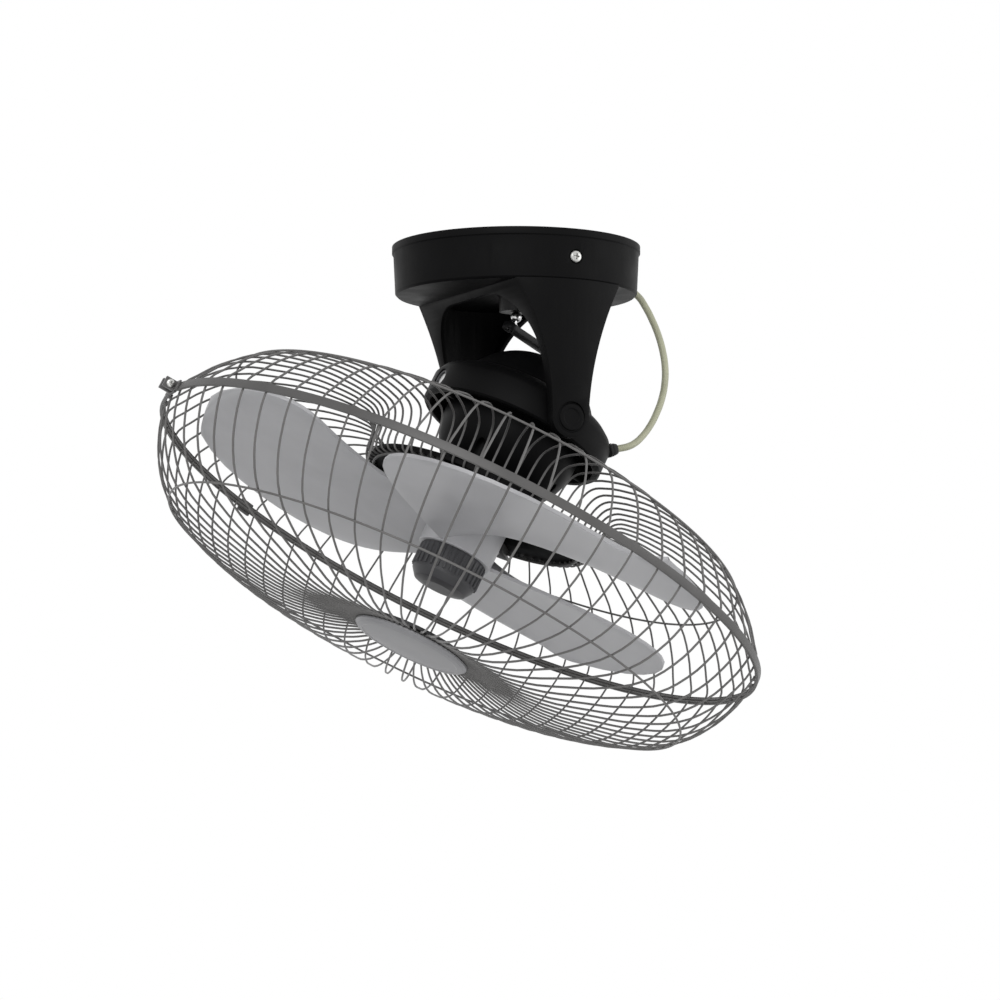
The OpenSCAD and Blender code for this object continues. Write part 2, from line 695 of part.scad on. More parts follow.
module mount_screws() {
    color("silver") on_head() around(4, 0) translate([mount_screw_r, 0, -nose_z - mount_t])
        rotate([180, 0, 0]) screw(3, mount_t + 5, 2.9, 2);
}
module guard_clamps() {
    color([0.16, 0.16, 0.17]) on_head() around(4, 45) difference() {
        union() {
            translate([clamp_screw_r - 6, -6, -clamp_bottom - 2.4]) cube([21, 12, 2.4]);
            translate([clamp_screw_r - 6, -6, -clamp_bottom - 0.1])
                cube([13, 12, clamp_bottom - mount_rim_z + 0.1]);
        }
        translate([clamp_screw_r, 0, 0]) front_disc(mount_rim_z - 1, clamp_bottom + 10, 1.7);
        // notch for the ring and the wire ends
        rotate_extrude($fn = 128) translate([centre_ring_r, -centre_ring_z])
            circle(r = rim_t / 2 + 0.1);
    }
}
module clamp_screws() {
    color("silver") on_head() around(4, 45) translate([clamp_screw_r, 0, -clamp_bottom - 2.4])
        rotate([180, 0, 0]) screw(3, clamp_bottom + 2.4 - mount_rim_z + 2.8, 2.9, 1.8);
}
// a guard wire lies in one radial plane; its path is a list of [radius, depth]
function wire_edge(p, t) = [for (i = [0 : len(p) - 1]) let (
    d = p[min(i + 1, len(p) - 1)] - p[max(i - 1, 0)], n = [-d[1], d[0]] / norm(d)) p[i] + n * t];
function backward(p) = [for (i = [len(p) - 1 : -1 : 0]) p[i]];
module wire(p) {
    rotate([90, 0, 0]) linear_extrude(height = wire_t, center = true)
        polygon(concat(wire_edge(p, wire_t / 2), backward(wire_edge(p, -wire_t / 2))));
}
module torus(r, z, t) { rotate_extrude($fn = 180) translate([r, -z]) circle(r = t / 2, $fn = 24); }
rear_top = rim_ahead - rear_depth;
thin_lift = 0.75 * wire_t;   // the thin rings are welded on this far outside the wires' middle
wire_end_r = rim_r - (rim_t + wire_t) / 2 + 0.3;
rear_rim_z = rim_ahead - rim_t / 2 - 0.05;
front_rim_z = rim_ahead + rim_t / 2 + 0.05;
// the curve of each half, as shares of the way in from the rim and of the half's depth
rear_form = [[0.91, 0], [0.73, 0], [0.61, 0.035], [0.43, 0.15], [0.255, 0.312], [0.127, 0.562],
    [0.052, 0.79]];
front_form = [[0.035, 0.285], [0.09, 0.55], [0.175, 0.77], [0.305, 0.92], [0.46, 1.015],
    [0.66, 1.09], [0.85, 1.06], [0.945, 1.012]];
function rear_point(f) = [rim_r - f[0] * (rim_r - well_r), -rear_top - f[1] * rear_depth];
function front_point(f) = [rim_r - f[0] * (rim_r - badge_ring_r), -rim_ahead - f[1] * front_depth];
rear_path = concat([[centre_ring_r - 1.5, -wire_seat_z], [well_r - 7, -wire_seat_z],
    [well_r - 4.2, -wire_seat_z + 3.5], [well_r - 2.6, -rear_top - 16], [well_r, -rear_top - 7],
    [well_r + 4.5, -rear_top - 2]], [for (f = rear_form) rear_point(f)],
    [[wire_end_r - 0.4, -rim_ahead + 5], [wire_end_r, -rear_rim_z]]);
front_path = concat([[wire_end_r, -front_rim_z], [wire_end_r - 0.4, -rim_ahead - 5]],
    [for (f = front_form) front_point(f)], [[badge_ring_r, -badge_z]]);
// where the thin rings lie: outside one point of each curve
thin_rear = rear_point(rear_form[4]) + thin_lift * [0.54, 0.84];
thin_front = front_point(front_form[2]) + thin_lift * [0.52, -0.85];
module rear_guard() {
    color([0.25, 0.25, 0.26]) on_head() {
        around(wire_count, 45 + 180 / wire_count) wire(rear_path);
        torus(rim_r, rear_rim_z, rim_t);
        torus(thin_rear[0], -thin_rear[1], wire_t);
        torus(centre_ring_r, centre_ring_z, rim_t);
    }
}
module front_guard() {
    color([0.25, 0.25, 0.26]) on_head() {
        around(wire_count, 45 + 180 / wire_count) wire(front_path);
        torus(rim_r, front_rim_z, rim_t);
        torus(thin_front[0], -thin_front[1], wire_t);
        torus(badge_ring_r, badge_z, rim_t);
    }
}
band_in = rim_t + 0.15;
module guard_band() {
    color([0.2, 0.2, 0.21]) on_head() difference() {
        rotate_extrude($fn = 360) translate([0, -rim_ahead]) polygon([
            [band_lip_r, band_in], [band_r - band_t, band_in], [band_r - band_t, -band_in],
            [band_lip_r, -band_in], [band_lip_r, -band_in - band_t], [band_r, -band_in - band_t],
            [band_r, band_in + band_t], [band_lip_r, band_in + band_t]]);
        rotate([0, 0, buckle_at]) translate([rim_r - 5, -3, -rim_ahead - 10]) cube([15, 6, 20]);
    }
}
band_lip_r = rim_r - rim_t / 4;
band_r = rim_r + rim_t / 2 + 0.1 + band_t;
ear_w = 8;
ear_screw_r = band_r + 4.4;
module band_buckle() {
    color([0.3, 0.3, 0.31]) on_head() rotate([0, 0, buckle_at]) difference() {
        for (s = [-1, 1]) union() {
            // strap against the band
            intersection() {
                difference() {
                    front_disc(rim_ahead - 3.5, rim_ahead + 3.5, band_r + 1.2, $fn = 360);
                    front_disc(rim_ahead - 6, rim_ahead + 6, band_r + 0.05, $fn = 360);
                }
                translate([band_r - 10, s > 0 ? 3 : -14, -rim_ahead - 8]) cube([20, 11, 16]);
            }
            // ear for the screw
            translate([band_r + 0.4, s > 0 ? 3 : -6, -rim_ahead - 3.5]) cube([ear_w, 3, 7]);
        }
        translate([ear_screw_r, 0, -rim_ahead]) rotate([90, 0, 0])
            cylinder(r = 1.7, h = 40, center = true);
    }
}
module buckle_screw() {
    color("silver") on_head() rotate([0, 0, buckle_at]) translate([ear_screw_r, 6, -rim_ahead])
        rotate([-90, 0, 0]) screw(3, 16, 2.9, 2);
}
module guard_clip() {
    h = band_in + band_t;
    color([0.3, 0.3, 0.31]) on_head() rotate([0, 0, clip_at]) intersection() {
        difference() {
            front_disc(rim_ahead - h - 2, rim_ahead + h + 2, band_r + 1.4, $fn = 360);
            front_disc(rim_ahead - h, rim_ahead + h, band_r + 0.05, $fn = 360);
            front_disc(rim_ahead - 20, rim_ahead + 20, rim_r + 0.5, $fn = 360);
        }
        translate([rim_r - 10, -6, -rim_ahead - 20]) cube([30, 12, 40]);
    }
}
module front_badge() {
    f = badge_z + rim_t / 2 + 0.1;
    color([0.55, 0.55, 0.57]) on_head() difference() {
        union() {
            rotate_extrude($fn = 128) polygon([[0, -f], [badge_r, -f], [badge_r, -f - 1.5],
                [badge_r - 2, -f - 3.2], [badge_r - 8, -f - 4.2], [0, -f - 4.2]]);
            front_disc(badge_z - rim_t / 2, f + 0.5, badge_ring_r - rim_t / 2 - 0.6);
        }
        around(3) translate([badge_screw_r, 0, 0]) front_disc(badge_z - 5, f + 1.6, 1.5);
    }
}
module badge_back() {
    b = badge_z - rim_t / 2;
    color([0.12, 0.12, 0.13]) on_head() difference() {
        front_disc(b - 2.5, b, badge_ring_r + 4);
        around(3) translate([badge_screw_r, 0, 0]) front_disc(b - 5, b + 1, 1.7);
    }
}
module badge_screws() {
    b = badge_z - rim_t / 2;
    color("silver") on_head() around(3) translate([badge_screw_r, 0, -b + 2.5])
        screw(3, badge_screw_len, 2.8, 1.8);
}

// ---------------------------------------------------------------- rotor
module motor_shaft() {
    color("silver") on_head() difference() {
        translate([0, 0, -hub_front - spinner_h + 8])
            cylinder(r = shaft_r, h = hub_front + spinner_h - 8 + bracket_z - 1);
        translate([0, 0, -hub_back - 3]) rotate([90, 0, 0]) cylinder(r = 1.5, h = 20, center = true);
    }
}
module rotor_core() {
    color("dimgrey") on_head() difference() {
        front_disc(stator_rear + 1, stator_front - 1, rotor_r);
        front_disc(stator_rear, stator_front, shaft_r);
    }
}
// blade surface: u runs along the span, v from -1 to 1 across the chord
blade_root = hub_r - 2;
function span_r(u) = blade_root + (blade_r - blade_root) * u;
function half_angle(u) = 44 * (0.9 + 0.3 * u) * sqrt(max(0.02, 1 - pow(u, 7)));
function blade_at(u, v) = let (r = span_r(u), a = 22 * u * u + half_angle(u) * v,
    z = -blade_mid + (1 - 0.35 * u) * blade_amp * v - 4 * (1 - v * v) * u) [r * cos(a), r * sin(a), z];
span_n = 12;
chord_n = 10;
module blade() {
    pts = [for (side = [0, 1]) for (i = [0 : span_n]) for (j = [0 : chord_n])
        blade_at(sin(90 * i / span_n), -1 + 2 * j / chord_n)
            + [0, 0, (side == 0 ? 0.5 : -0.5) * blade_t]];
    w = chord_n + 1;
    m = (span_n + 1) * w;
    top = [for (i = [0 : span_n - 1]) for (j = [0 : chord_n - 1]) for (h = [0, 1])
        let (a = i * w + j, b = a + 1, c = a + w + 1, d = a + w)
        h == 0 ? [a, b, c] : [a, c, d]];
    under = [for (f = top) [f[0] + m, f[2] + m, f[1] + m]];
    rim = concat([for (i = [0 : span_n - 1]) [i * w, (i + 1) * w]],
        [for (j = [0 : chord_n - 1]) [span_n * w + j, span_n * w + j + 1]],
        [for (i = [span_n : -1 : 1]) [i * w + chord_n, (i - 1) * w + chord_n]],
        [for (j = [chord_n : -1 : 1]) [j, j - 1]]);
    edge = [for (e = rim) for (h = [0, 1])
        h == 0 ? [e[0], e[1], e[1] + m] : [e[0], e[1] + m, e[0] + m]];
    polyhedron(points = pts, faces = concat(top, under, edge), convexity = 6);
}
module impeller() {
    color([0.6, 0.6, 0.62]) on_head() difference() {
        union() {
            front_disc(hub_back, hub_front, hub_r);
            around(3, 16) blade();
        }
        front_disc(hub_back - 30, hub_front + 30, shaft_r);
        translate([0, 0, -hub_back - 3]) rotate([90, 0, 0]) cylinder(r = 1.5, h = 24, center = true);
        difference() {
            front_disc(hub_back - 1, hub_front - 4, hub_r - 2.5);
            front_disc(hub_back - 2, hub_front, shaft_r + 7);
            around(6) translate([0, -1.2, -hub_front]) cube([hub_r, 2.4, hub_front - hub_back - 3]);
        }
    }
}
module drive_pin() {
    color("silver") on_head() translate([0, 0, -hub_back - 3]) rotate([90, 0, 0])
        cylinder(r = 1.5, h = 20, center = true);
}
module spinner() {
    f = hub_front;
    color([0.35, 0.35, 0.37]) on_head() difference() {
        union() {
            rotate_extrude() polygon([[0, -f], [spinner_r, -f], [spinner_r - 1, -f - spinner_h + 7],
                [spinner_r - 5, -f - spinner_h + 1.5], [spinner_r - 12, -f - spinner_h],
                [0, -f - spinner_h]]);
            around(30) translate([spinner_r - 2, -0.9, -f - spinner_h + 9])
                cube([2.6, 1.8, spinner_h - 10]);
        }
        front_disc(f - 1, f + spinner_h - 7, shaft_r);
    }
}

// ---------------------------------------------------------------- swing crank
module crank_shaft() {
    color("silver") on_head() translate([0, 0, swing_z + 7])
        cylinder(r = crank_shaft_r, h = crank_bar_z + crank_bar_t - swing_z - 7);
}
module crank_arm() {
    color([0.1, 0.1, 0.11]) on_head() difference() {
        union() {
            translate([0, 0, crank_bar_z - 3]) cylinder(r = 7, h = crank_bar_t + 3);
            translate([-crank_off, -5, crank_bar_z]) cube([crank_off, 10, crank_bar_t]);
            translate([-crank_off, 0, crank_bar_z]) cylinder(r = 6, h = crank_bar_t);
        }
        translate([0, 0, crank_bar_z - 4]) cylinder(r = crank_shaft_r, h = 20);
        translate([-crank_off, 0, crank_bar_z - 1]) cylinder(r = 2.5, h = 20);
        translate([0, 0, crank_bar_z + 2]) x_rod(1, 0, 10, 1.25);
    }
}
module crank_pin() {
    color("silver") on_head() translate([-crank_off, 0, 0]) {
        translate([0, 0, crank_bar_z]) cylinder(r = 2.5, h = crank_up - crank_bar_z);
        translate([0, 0, crank_bar_z + crank_bar_t]) cylinder(r = 4, h = 1.2);
        translate([0, 0, crank_up]) sphere(r = ball_pin_r);
    }
}
grub_end = 8.5;       // the grub screw's head stands this far from the shaft's middle
module crank_screw() {
    color("silver") on_head() translate([0, 0, crank_bar_z + 2]) x_rod(1, crank_shaft_r, grub_end, 1.25);
}

ceiling_plate();
canopy_yoke();
canopy_screws();
terminal_block();
terminal_screws();
block_screws();
earth_screw();
capacitor();
capacitor_clip();
crank_socket();
socket_screws();
cord_grommet();
yoke_bushes();
pivot_caps();
lead_cord();
inner_lead();
gimbal_ring();
yoke_pins();
ring_bushes();
cord_gland();
motor_rear_shell();
motor_front_shell();
shell_screws();
head_pins();
stator_core();
stator_windings();
front_bearing();
rear_bearing();
rear_bracket();
bracket_screws();
swing_motor();
swing_screws();
guard_mount();
mount_screws();
guard_clamps();
clamp_screws();
rear_guard();
front_guard();
guard_band();
band_buckle();
buckle_screw();
guard_clip();
front_badge();
badge_back();
badge_screws();
motor_shaft();
rotor_core();
impeller();
drive_pin();
spinner();
crank_shaft();
crank_arm();
crank_pin();
crank_screw();
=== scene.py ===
"""Looks of an orbital ceiling fan: a canopy with a two-armed yoke, a gimbal ring and a caged motor head.

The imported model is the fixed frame. Every length is in metres, in that frame: the origin is the middle of
the ceiling face and +Z points up. Pieces of the head are modelled in the head frame, whose origin is the
crossing of the two gimbal axes and whose +Z points to the rear of the head, and are then placed by it.
"""

import json
import logging
import math
from collections.abc import Iterable, Iterator, Sequence
from contextlib import contextmanager
from dataclasses import dataclass, field
from enum import Enum

import bpy
from bpy.types import Material, Node, NodeSocket, Object
from mathutils import Matrix, Vector

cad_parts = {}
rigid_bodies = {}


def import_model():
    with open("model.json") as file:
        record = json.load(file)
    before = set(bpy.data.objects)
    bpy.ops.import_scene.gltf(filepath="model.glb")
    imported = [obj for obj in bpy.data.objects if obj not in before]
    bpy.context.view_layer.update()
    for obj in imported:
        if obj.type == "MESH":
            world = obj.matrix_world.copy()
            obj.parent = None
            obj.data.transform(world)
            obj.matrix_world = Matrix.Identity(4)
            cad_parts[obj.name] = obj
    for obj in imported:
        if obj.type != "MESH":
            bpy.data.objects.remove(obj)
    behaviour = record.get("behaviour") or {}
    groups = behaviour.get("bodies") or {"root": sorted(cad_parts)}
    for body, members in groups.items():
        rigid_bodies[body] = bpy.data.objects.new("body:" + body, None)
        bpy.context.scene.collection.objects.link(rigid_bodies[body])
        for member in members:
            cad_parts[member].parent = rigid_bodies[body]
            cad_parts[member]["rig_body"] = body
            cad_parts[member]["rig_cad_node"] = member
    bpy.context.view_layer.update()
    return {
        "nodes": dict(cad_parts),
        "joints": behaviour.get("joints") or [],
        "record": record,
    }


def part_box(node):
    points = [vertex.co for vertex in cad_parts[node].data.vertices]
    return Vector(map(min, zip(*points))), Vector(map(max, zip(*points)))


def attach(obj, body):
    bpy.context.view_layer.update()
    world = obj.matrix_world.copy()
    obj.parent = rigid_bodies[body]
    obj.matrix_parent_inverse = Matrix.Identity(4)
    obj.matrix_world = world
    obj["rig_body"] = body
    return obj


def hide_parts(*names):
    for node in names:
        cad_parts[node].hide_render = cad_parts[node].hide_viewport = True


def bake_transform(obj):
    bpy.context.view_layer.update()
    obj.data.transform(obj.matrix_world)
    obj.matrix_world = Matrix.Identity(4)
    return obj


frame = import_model()

log = logging.getLogger("ceiling_fan")

MM = 0.001
Outline = list[tuple[float, float]]


# ------------------------------------------------------------------ the bench: selecting, shaping, placing


def select_only(*pieces: Object) -> None:
    """Selects the pieces and nothing else, and makes the last one active.

    Args:
        pieces: The pieces to select.
    """
    bpy.ops.object.select_all(action="DESELECT")
    for piece in pieces:
        piece.select_set(True)
    bpy.context.view_layer.objects.active = pieces[-1]


@contextmanager
def editing(piece: Object) -> Iterator[None]:
    """Opens a piece in edit mode with all of it selected, and leaves edit mode at the end.

    Args:
        piece: The piece to edit.
    """
    select_only(piece)
    bpy.ops.object.mode_set(mode="EDIT")
    bpy.ops.mesh.select_all(action="SELECT")
    yield
    bpy.ops.object.mode_set(mode="OBJECT")


def settle(piece: Object, place: Matrix | None = None) -> Object:
    """Puts a piece at its place and moves that place into its mesh.

    Args:
        piece: The piece, modelled in its own frame.
        place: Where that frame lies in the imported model's frame.

    Returns:
        The same piece, with its object at the origin.
    """
    if place is not None:
        piece.matrix_world = place @ piece.matrix_world
    select_only(piece)
    bpy.ops.object.transform_apply(location=True, rotation=True, scale=True)
    return piece


def joined(name: str, parts: Sequence[Object]) -> Object:
    """Joins parts into one piece.

    Args:
        name: Name of the piece.
        parts: The parts, of which the last keeps its place.

    Returns:
        The joined piece.
    """
    select_only(*parts)
    bpy.ops.object.join()
    piece = bpy.context.object
    piece.name = piece.data.name = name
    return piece


def applied(piece: Object, kind: str, **settings: object) -> Object:
    """Adds one modifier to a piece and applies it.

    Args:
        piece: The piece.
        kind: The modifier's type.
        settings: Values of the modifier's properties.

    Returns:
        The same piece.
    """
    modifier = piece.modifiers.new(kind.title(), kind)
    for key, value in settings.items():
        setattr(modifier, key, value)
    select_only(piece)
    bpy.ops.object.modifier_apply(modifier=modifier.name)
    return piece


def rounded(piece: Object, width: float, segments: int = 2, angle: float = 30) -> Object:
    """Rounds every edge that turns by more than an angle.

    Args:
        piece: The piece.
        width: Width of the rounding.
        segments: Faces across the rounding.
        angle: The least turn of an edge that is rounded, in degrees.

    Returns:
        The same piece.
    """
    return applied(piece, "BEVEL", width=width, segments=segments, limit_method="ANGLE",
                   angle_limit=math.radians(angle), use_clamp_overlap=True)


def smooth(piece: Object, angle: float = 35) -> Object:
    """Shades a piece smooth, apart from edges that turn by more than an angle in degrees."""
    select_only(piece)
    bpy.ops.object.shade_smooth_by_angle(angle=math.radians(angle))
    return piece


def filleted(outline: Sequence[tuple[float, float]], radius: float, steps: int = 4) -> Outline:
    """Rounds the corners of a closed outline with bows, apart from corners on the axis.

    Args:
        outline: Corners as (radius from the axis, height).
        radius: Radius of the bows, less where an edge is short.
        steps: Stretches in each bow.

    Returns:
        The rounded outline.
    """
    made: Outline = []
    count = len(outline)
    for index, corner in enumerate(outline):
        here = Vector(corner)
        before = Vector(outline[index - 1]) - here
        after = Vector(outline[(index + 1) % count]) - here
        turn = before.angle(after)
        if here.x < 1e-6 or turn > math.radians(172):
            made.append(tuple(here))
            continue
        reach = min(radius / math.tan(turn / 2), before.length * 0.45, after.length * 0.45)
        start, end = here + before.normalized() * reach, here + after.normalized() * reach
        for step in range(steps + 1):
            share = step / steps
            bow = start * (1 - share) ** 2 + here * 2 * share * (1 - share) + end * share**2
            made.append((bow.x, bow.y))
    return made


def lathe(name: str, outline: Sequence[tuple[float, float]], steps: int = 96, turn: float = 360) -> Object:
    """Turns a closed outline round the Z axis.

    Args:
        name: Name of the piece.
        outline: Points as (radius, height), in order round the outline.
        steps: Stretches round the axis.
        turn: Angle of the turn in degrees. Less than a full turn gives closed ends.

    Returns:
        The turned piece, in its own frame.
    """
    whole = turn > 359.9
    bpy.ops.mesh.primitive_circle_add(vertices=len(outline), fill_type="NOTHING" if whole else "NGON")
    piece = bpy.context.object
    piece.name = piece.data.name = name
    for vertex, (radius, height) in zip(piece.data.vertices, outline):
        vertex.co = (radius, 0, height)
    with editing(piece):
        bpy.ops.mesh.spin(steps=steps, angle=math.radians(turn), center=(0, 0, 0), axis=(0, 0, 1))
        bpy.ops.mesh.select_all(action="SELECT")
        bpy.ops.mesh.remove_doubles(threshold=1e-6)
        bpy.ops.mesh.dissolve_degenerate(threshold=1e-7)
        bpy.ops.mesh.select_all(action="SELECT")
        bpy.ops.mesh.normals_make_consistent(inside=False)
    return piece


def repeated(piece: Object, count: int) -> Object:
    """Repeats a mesh evenly round the Z axis, all in the same piece.

    Args:
        piece: The piece that holds the first copy.
        count: How many copies the full circle has.

    Returns:
        The same piece with all copies.
    """
    with editing(piece):
        bpy.ops.mesh.spin(steps=count - 1, dupli=True, angle=math.tau * (count - 1) / count,
                          center=(0, 0, 0), axis=(0, 0, 1))
    return piece


def tube(name: str, points: Sequence[Vector], radius: float, resolution: int = 4, sides: int = 2) -> Object:
    """Draws a round wire along a smooth line.

    Args:
        name: Name of the piece.
        points: Points that the line passes through.
        radius: Radius of the wire.
        resolution: Stretches between two points.
        sides: Blender's bevel resolution: 2 gives eight sides.

    Returns:
        The wire as a closed mesh.
    """
    bpy.ops.curve.primitive_bezier_curve_add()
    piece = bpy.context.object
    piece.name = name
    curve = piece.data
    curve.dimensions = "3D"
    curve.resolution_u = resolution
    curve.bevel_depth = radius
    curve.bevel_resolution = sides
    curve.use_fill_caps = True
    knots = curve.splines[0].bezier_points
    knots.add(len(points) - len(knots))
    for knot, point in zip(knots, points):
        knot.co = point
        knot.handle_left_type = knot.handle_right_type = "AUTO"
    select_only(piece)
    bpy.ops.object.convert(target="MESH")
    piece = bpy.context.object
    piece.data.name = name
    with editing(piece):
        bpy.ops.mesh.remove_doubles(threshold=1e-6)
        bpy.ops.mesh.normals_make_consistent(inside=False)
    return piece


def centre_line(points: Sequence[Vector], resolution: int) -> list[Vector]:
    """Follows the smooth line that a tube takes through its points.

    Args:
        points: Points that the line passes through.
        resolution: Stretches between two points.

    Returns:
        Points close together on the line.
    """
    bare = tube("line", points, 0, resolution, 0)
    line = [vertex.co.copy() for vertex in bare.data.vertices]
    bpy.data.objects.remove(bare)
    return line


def ring(radius: float, height: float, thickness: float, around: int = 192, across: int = 10) -> Object:
    """Adds a round ring of wire about the Z axis.

    Args:
        radius: Radius of the ring's middle line.
        height: Height of the ring.
        thickness: Diameter of the wire.
        around: Stretches round the axis.
        across: Sides of the wire.

    Returns:
        The ring as a piece of its own.
    """
    bpy.ops.mesh.primitive_torus_add(location=(0, 0, height), major_radius=radius, minor_radius=thickness / 2,
                                     major_segments=around, minor_segments=across)
    return bpy.context.object


def softened(node: str, width: float, segments: int = 2, angle: float = 30) -> Object:
    """Copies a CAD node and rounds its edges.

    Args:
        node: The CAD node's name.
        width: Width of the rounding.
        segments: Faces across the rounding.
        angle: The least turn of an edge that is rounded, in degrees.

    Returns:
        The rounded copy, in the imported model's frame.
    """
    select_only(frame["nodes"][node])
    bpy.ops.object.duplicate()
    piece = bpy.context.object
    piece.parent = None
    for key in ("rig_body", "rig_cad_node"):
        del piece[key]
    piece.name = piece.data.name = node + "_made"
    bpy.ops.mesh.customdata_custom_splitnormals_clear()
    with editing(piece):
        bpy.ops.mesh.remove_doubles(threshold=2e-6)
        bpy.ops.mesh.dissolve_limited(angle_limit=math.radians(0.6))
    return rounded(piece, width, segments, angle)


@dataclass(frozen=True)
class HeadFrame:
    """The leaning frame of the motor head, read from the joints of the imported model."""

    pivot: Vector
    rear: Vector

    @classmethod
    def from_joints(cls) -> "HeadFrame":
        """Reads the gimbal centre and the head's axis from the joints."""
        joints = {joint["name"]: joint for joint in frame["joints"]}
        return cls(pivot=Vector(joints["yoke_pivot"]["pos_m"]), rear=-Vector(joints["blade_spin"]["axis"]))

    @property
    def matrix(self) -> Matrix:
        """The head frame as a matrix: its Y axis is the yoke's axis."""
        side = Vector((0, 1, 0))
        ahead = side.cross(self.rear).normalized()
        turn = Matrix((ahead, side, self.rear)).transposed().to_4x4()
        return Matrix.Translation(self.pivot) @ turn

    def box(self, node: str) -> tuple[Vector, Vector]:
        """Measures a CAD node along the head frame's own axes.

        Args:
            node: The CAD node's name.

        Returns:
            Its lowest and highest corner in the head frame.
        """
        back = self.matrix.inverted()
        points = [back @ vertex.co for vertex in frame["nodes"][node].data.vertices]
        low = Vector(min(point[axis] for point in points) for axis in range(3))
        high = Vector(max(point[axis] for point in points) for axis in range(3))
        return low, high


HEAD = HeadFrame.from_joints()


def facing(point: Vector, direction: Vector) -> Matrix:
    """A place at a point, with its Z axis along a direction."""
    return Matrix.Translation(point) @ direction.to_track_quat("Z", "Y").to_matrix().to_4x4()


def about_axis(angle: float) -> Matrix:
    """A turn about the Z axis by an angle in degrees."""
    return Matrix.Rotation(math.radians(angle), 4, "Z")


def on_both_arms(reach: float, height: float) -> list[Matrix]:
    """Places on the Y axis, at a height, on both sides: their Z axes point outward along -Y and +Y."""
    return [facing(Vector((0, side * reach, height)), Vector((0, side, 0))) for side in (-1, 1)]


def circle_places(count: int, start: float, radius: float, seat: float,
                  facing_front: bool = True) -> list[Matrix]:
    """Places on a circle round the head's axis, each turned about itself by an angle of its own.

    Args:
        count: How many places.
        start: Angle of the first, in degrees.
        radius: Radius of the circle.
        seat: Height of the circle in the head frame.
        facing_front: Whether the places face the front of the head, or the rear.

    Returns:
        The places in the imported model's frame.
    """
    direction = Vector((0, 0, -1 if facing_front else 1))
    first_turn, next_turn = 17, 31
    places = []
    for index in range(count):
        spot = about_axis(start + index * 360 / count) @ Vector((radius, 0, seat))
        places.append(HEAD.matrix @ facing(spot, direction) @ about_axis(first_turn + next_turn * index))
    return places


def copied(name: str, first: Object, places: Sequence[Matrix]) -> Object:
    """Copies a piece to several places and joins the copies.

    Args:
        name: Name of the joined piece.
        first: The piece, modelled in its own frame.
        places: Where each copy goes. The piece itself takes the first place.

    Returns:
        The joined copies, each with a mesh of its own.
    """
    copies = [first]
    for _ in places[1:]:
        select_only(first)
        bpy.ops.object.duplicate()
        copies.append(bpy.context.object)
    for piece, place in zip(copies, places):
        settle(piece, place)
    return joined(name, copies) if len(copies) > 1 else copies[0]


def block(name: str, low: Sequence[float], high: Sequence[float], taper: float = 1.0) -> Object:
    """Adds a block between two corners.

    Args:
        name: Name of the block.
        low: Its lowest corner.
        high: Its highest corner.
        taper: Size of the lower face as a share of the upper one.

    Returns:
        The block as a piece of its own.
    """
    low, high = Vector(low), Vector(high)
    bpy.ops.mesh.primitive_cube_add(size=1, location=(low + high) / 2, scale=high - low)
    piece = settle(bpy.context.object)
    piece.name = piece.data.name = name
    middle = (low + high) / 2
    for vertex in piece.data.vertices:
        if vertex.co.z < middle.z:
            vertex.co.xy = middle.xy + (vertex.co.xy - middle.xy) * taper
    return piece


def cut(piece: Object, tool: Object) -> Object:
    """Cuts a tool's shape out of a piece and throws the tool away.

    Args:
        piece: The piece that is cut.
        tool: The closed mesh that is taken out of it.

    Returns:
        The piece with the cut.
    """
    applied(piece, "BOOLEAN", object=tool, operation="DIFFERENCE", solver="EXACT")
    bpy.data.objects.remove(tool)
    return piece


# ------------------------------------------------------------------ finishes

Colour = tuple[float, float, float]


class Slot(Enum):
    """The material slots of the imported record."""

    BLACK_PLASTIC = "black_plastic"
    BLACK_RUBBER = "black_rubber"
    ZINC_STEEL = "zinc_steel"
    GROUND_STEEL = "ground_steel"
    GUARD_WIRE = "guard_wire"
    GUARD_TRIM = "guard_trim"
    GREY_BLADE = "grey_blade"
    DARK_GREY_PLASTIC = "dark_grey_plastic"
    BADGE_GREY = "badge_grey"
    BADGE_BACK = "badge_back_black"
    CORD_SHEATH = "cord_sheath"
    IVORY_NYLON = "ivory_nylon"
    BRASS = "brass"
    BRONZE = "bronze"
    LAMINATION = "lamination"
    COPPER_WINDING = "copper_winding"
    CAST_ZINC = "cast_zinc"
    CAPACITOR_CASE = "capacitor_case"
    BLACK_COAT = "black_coat"


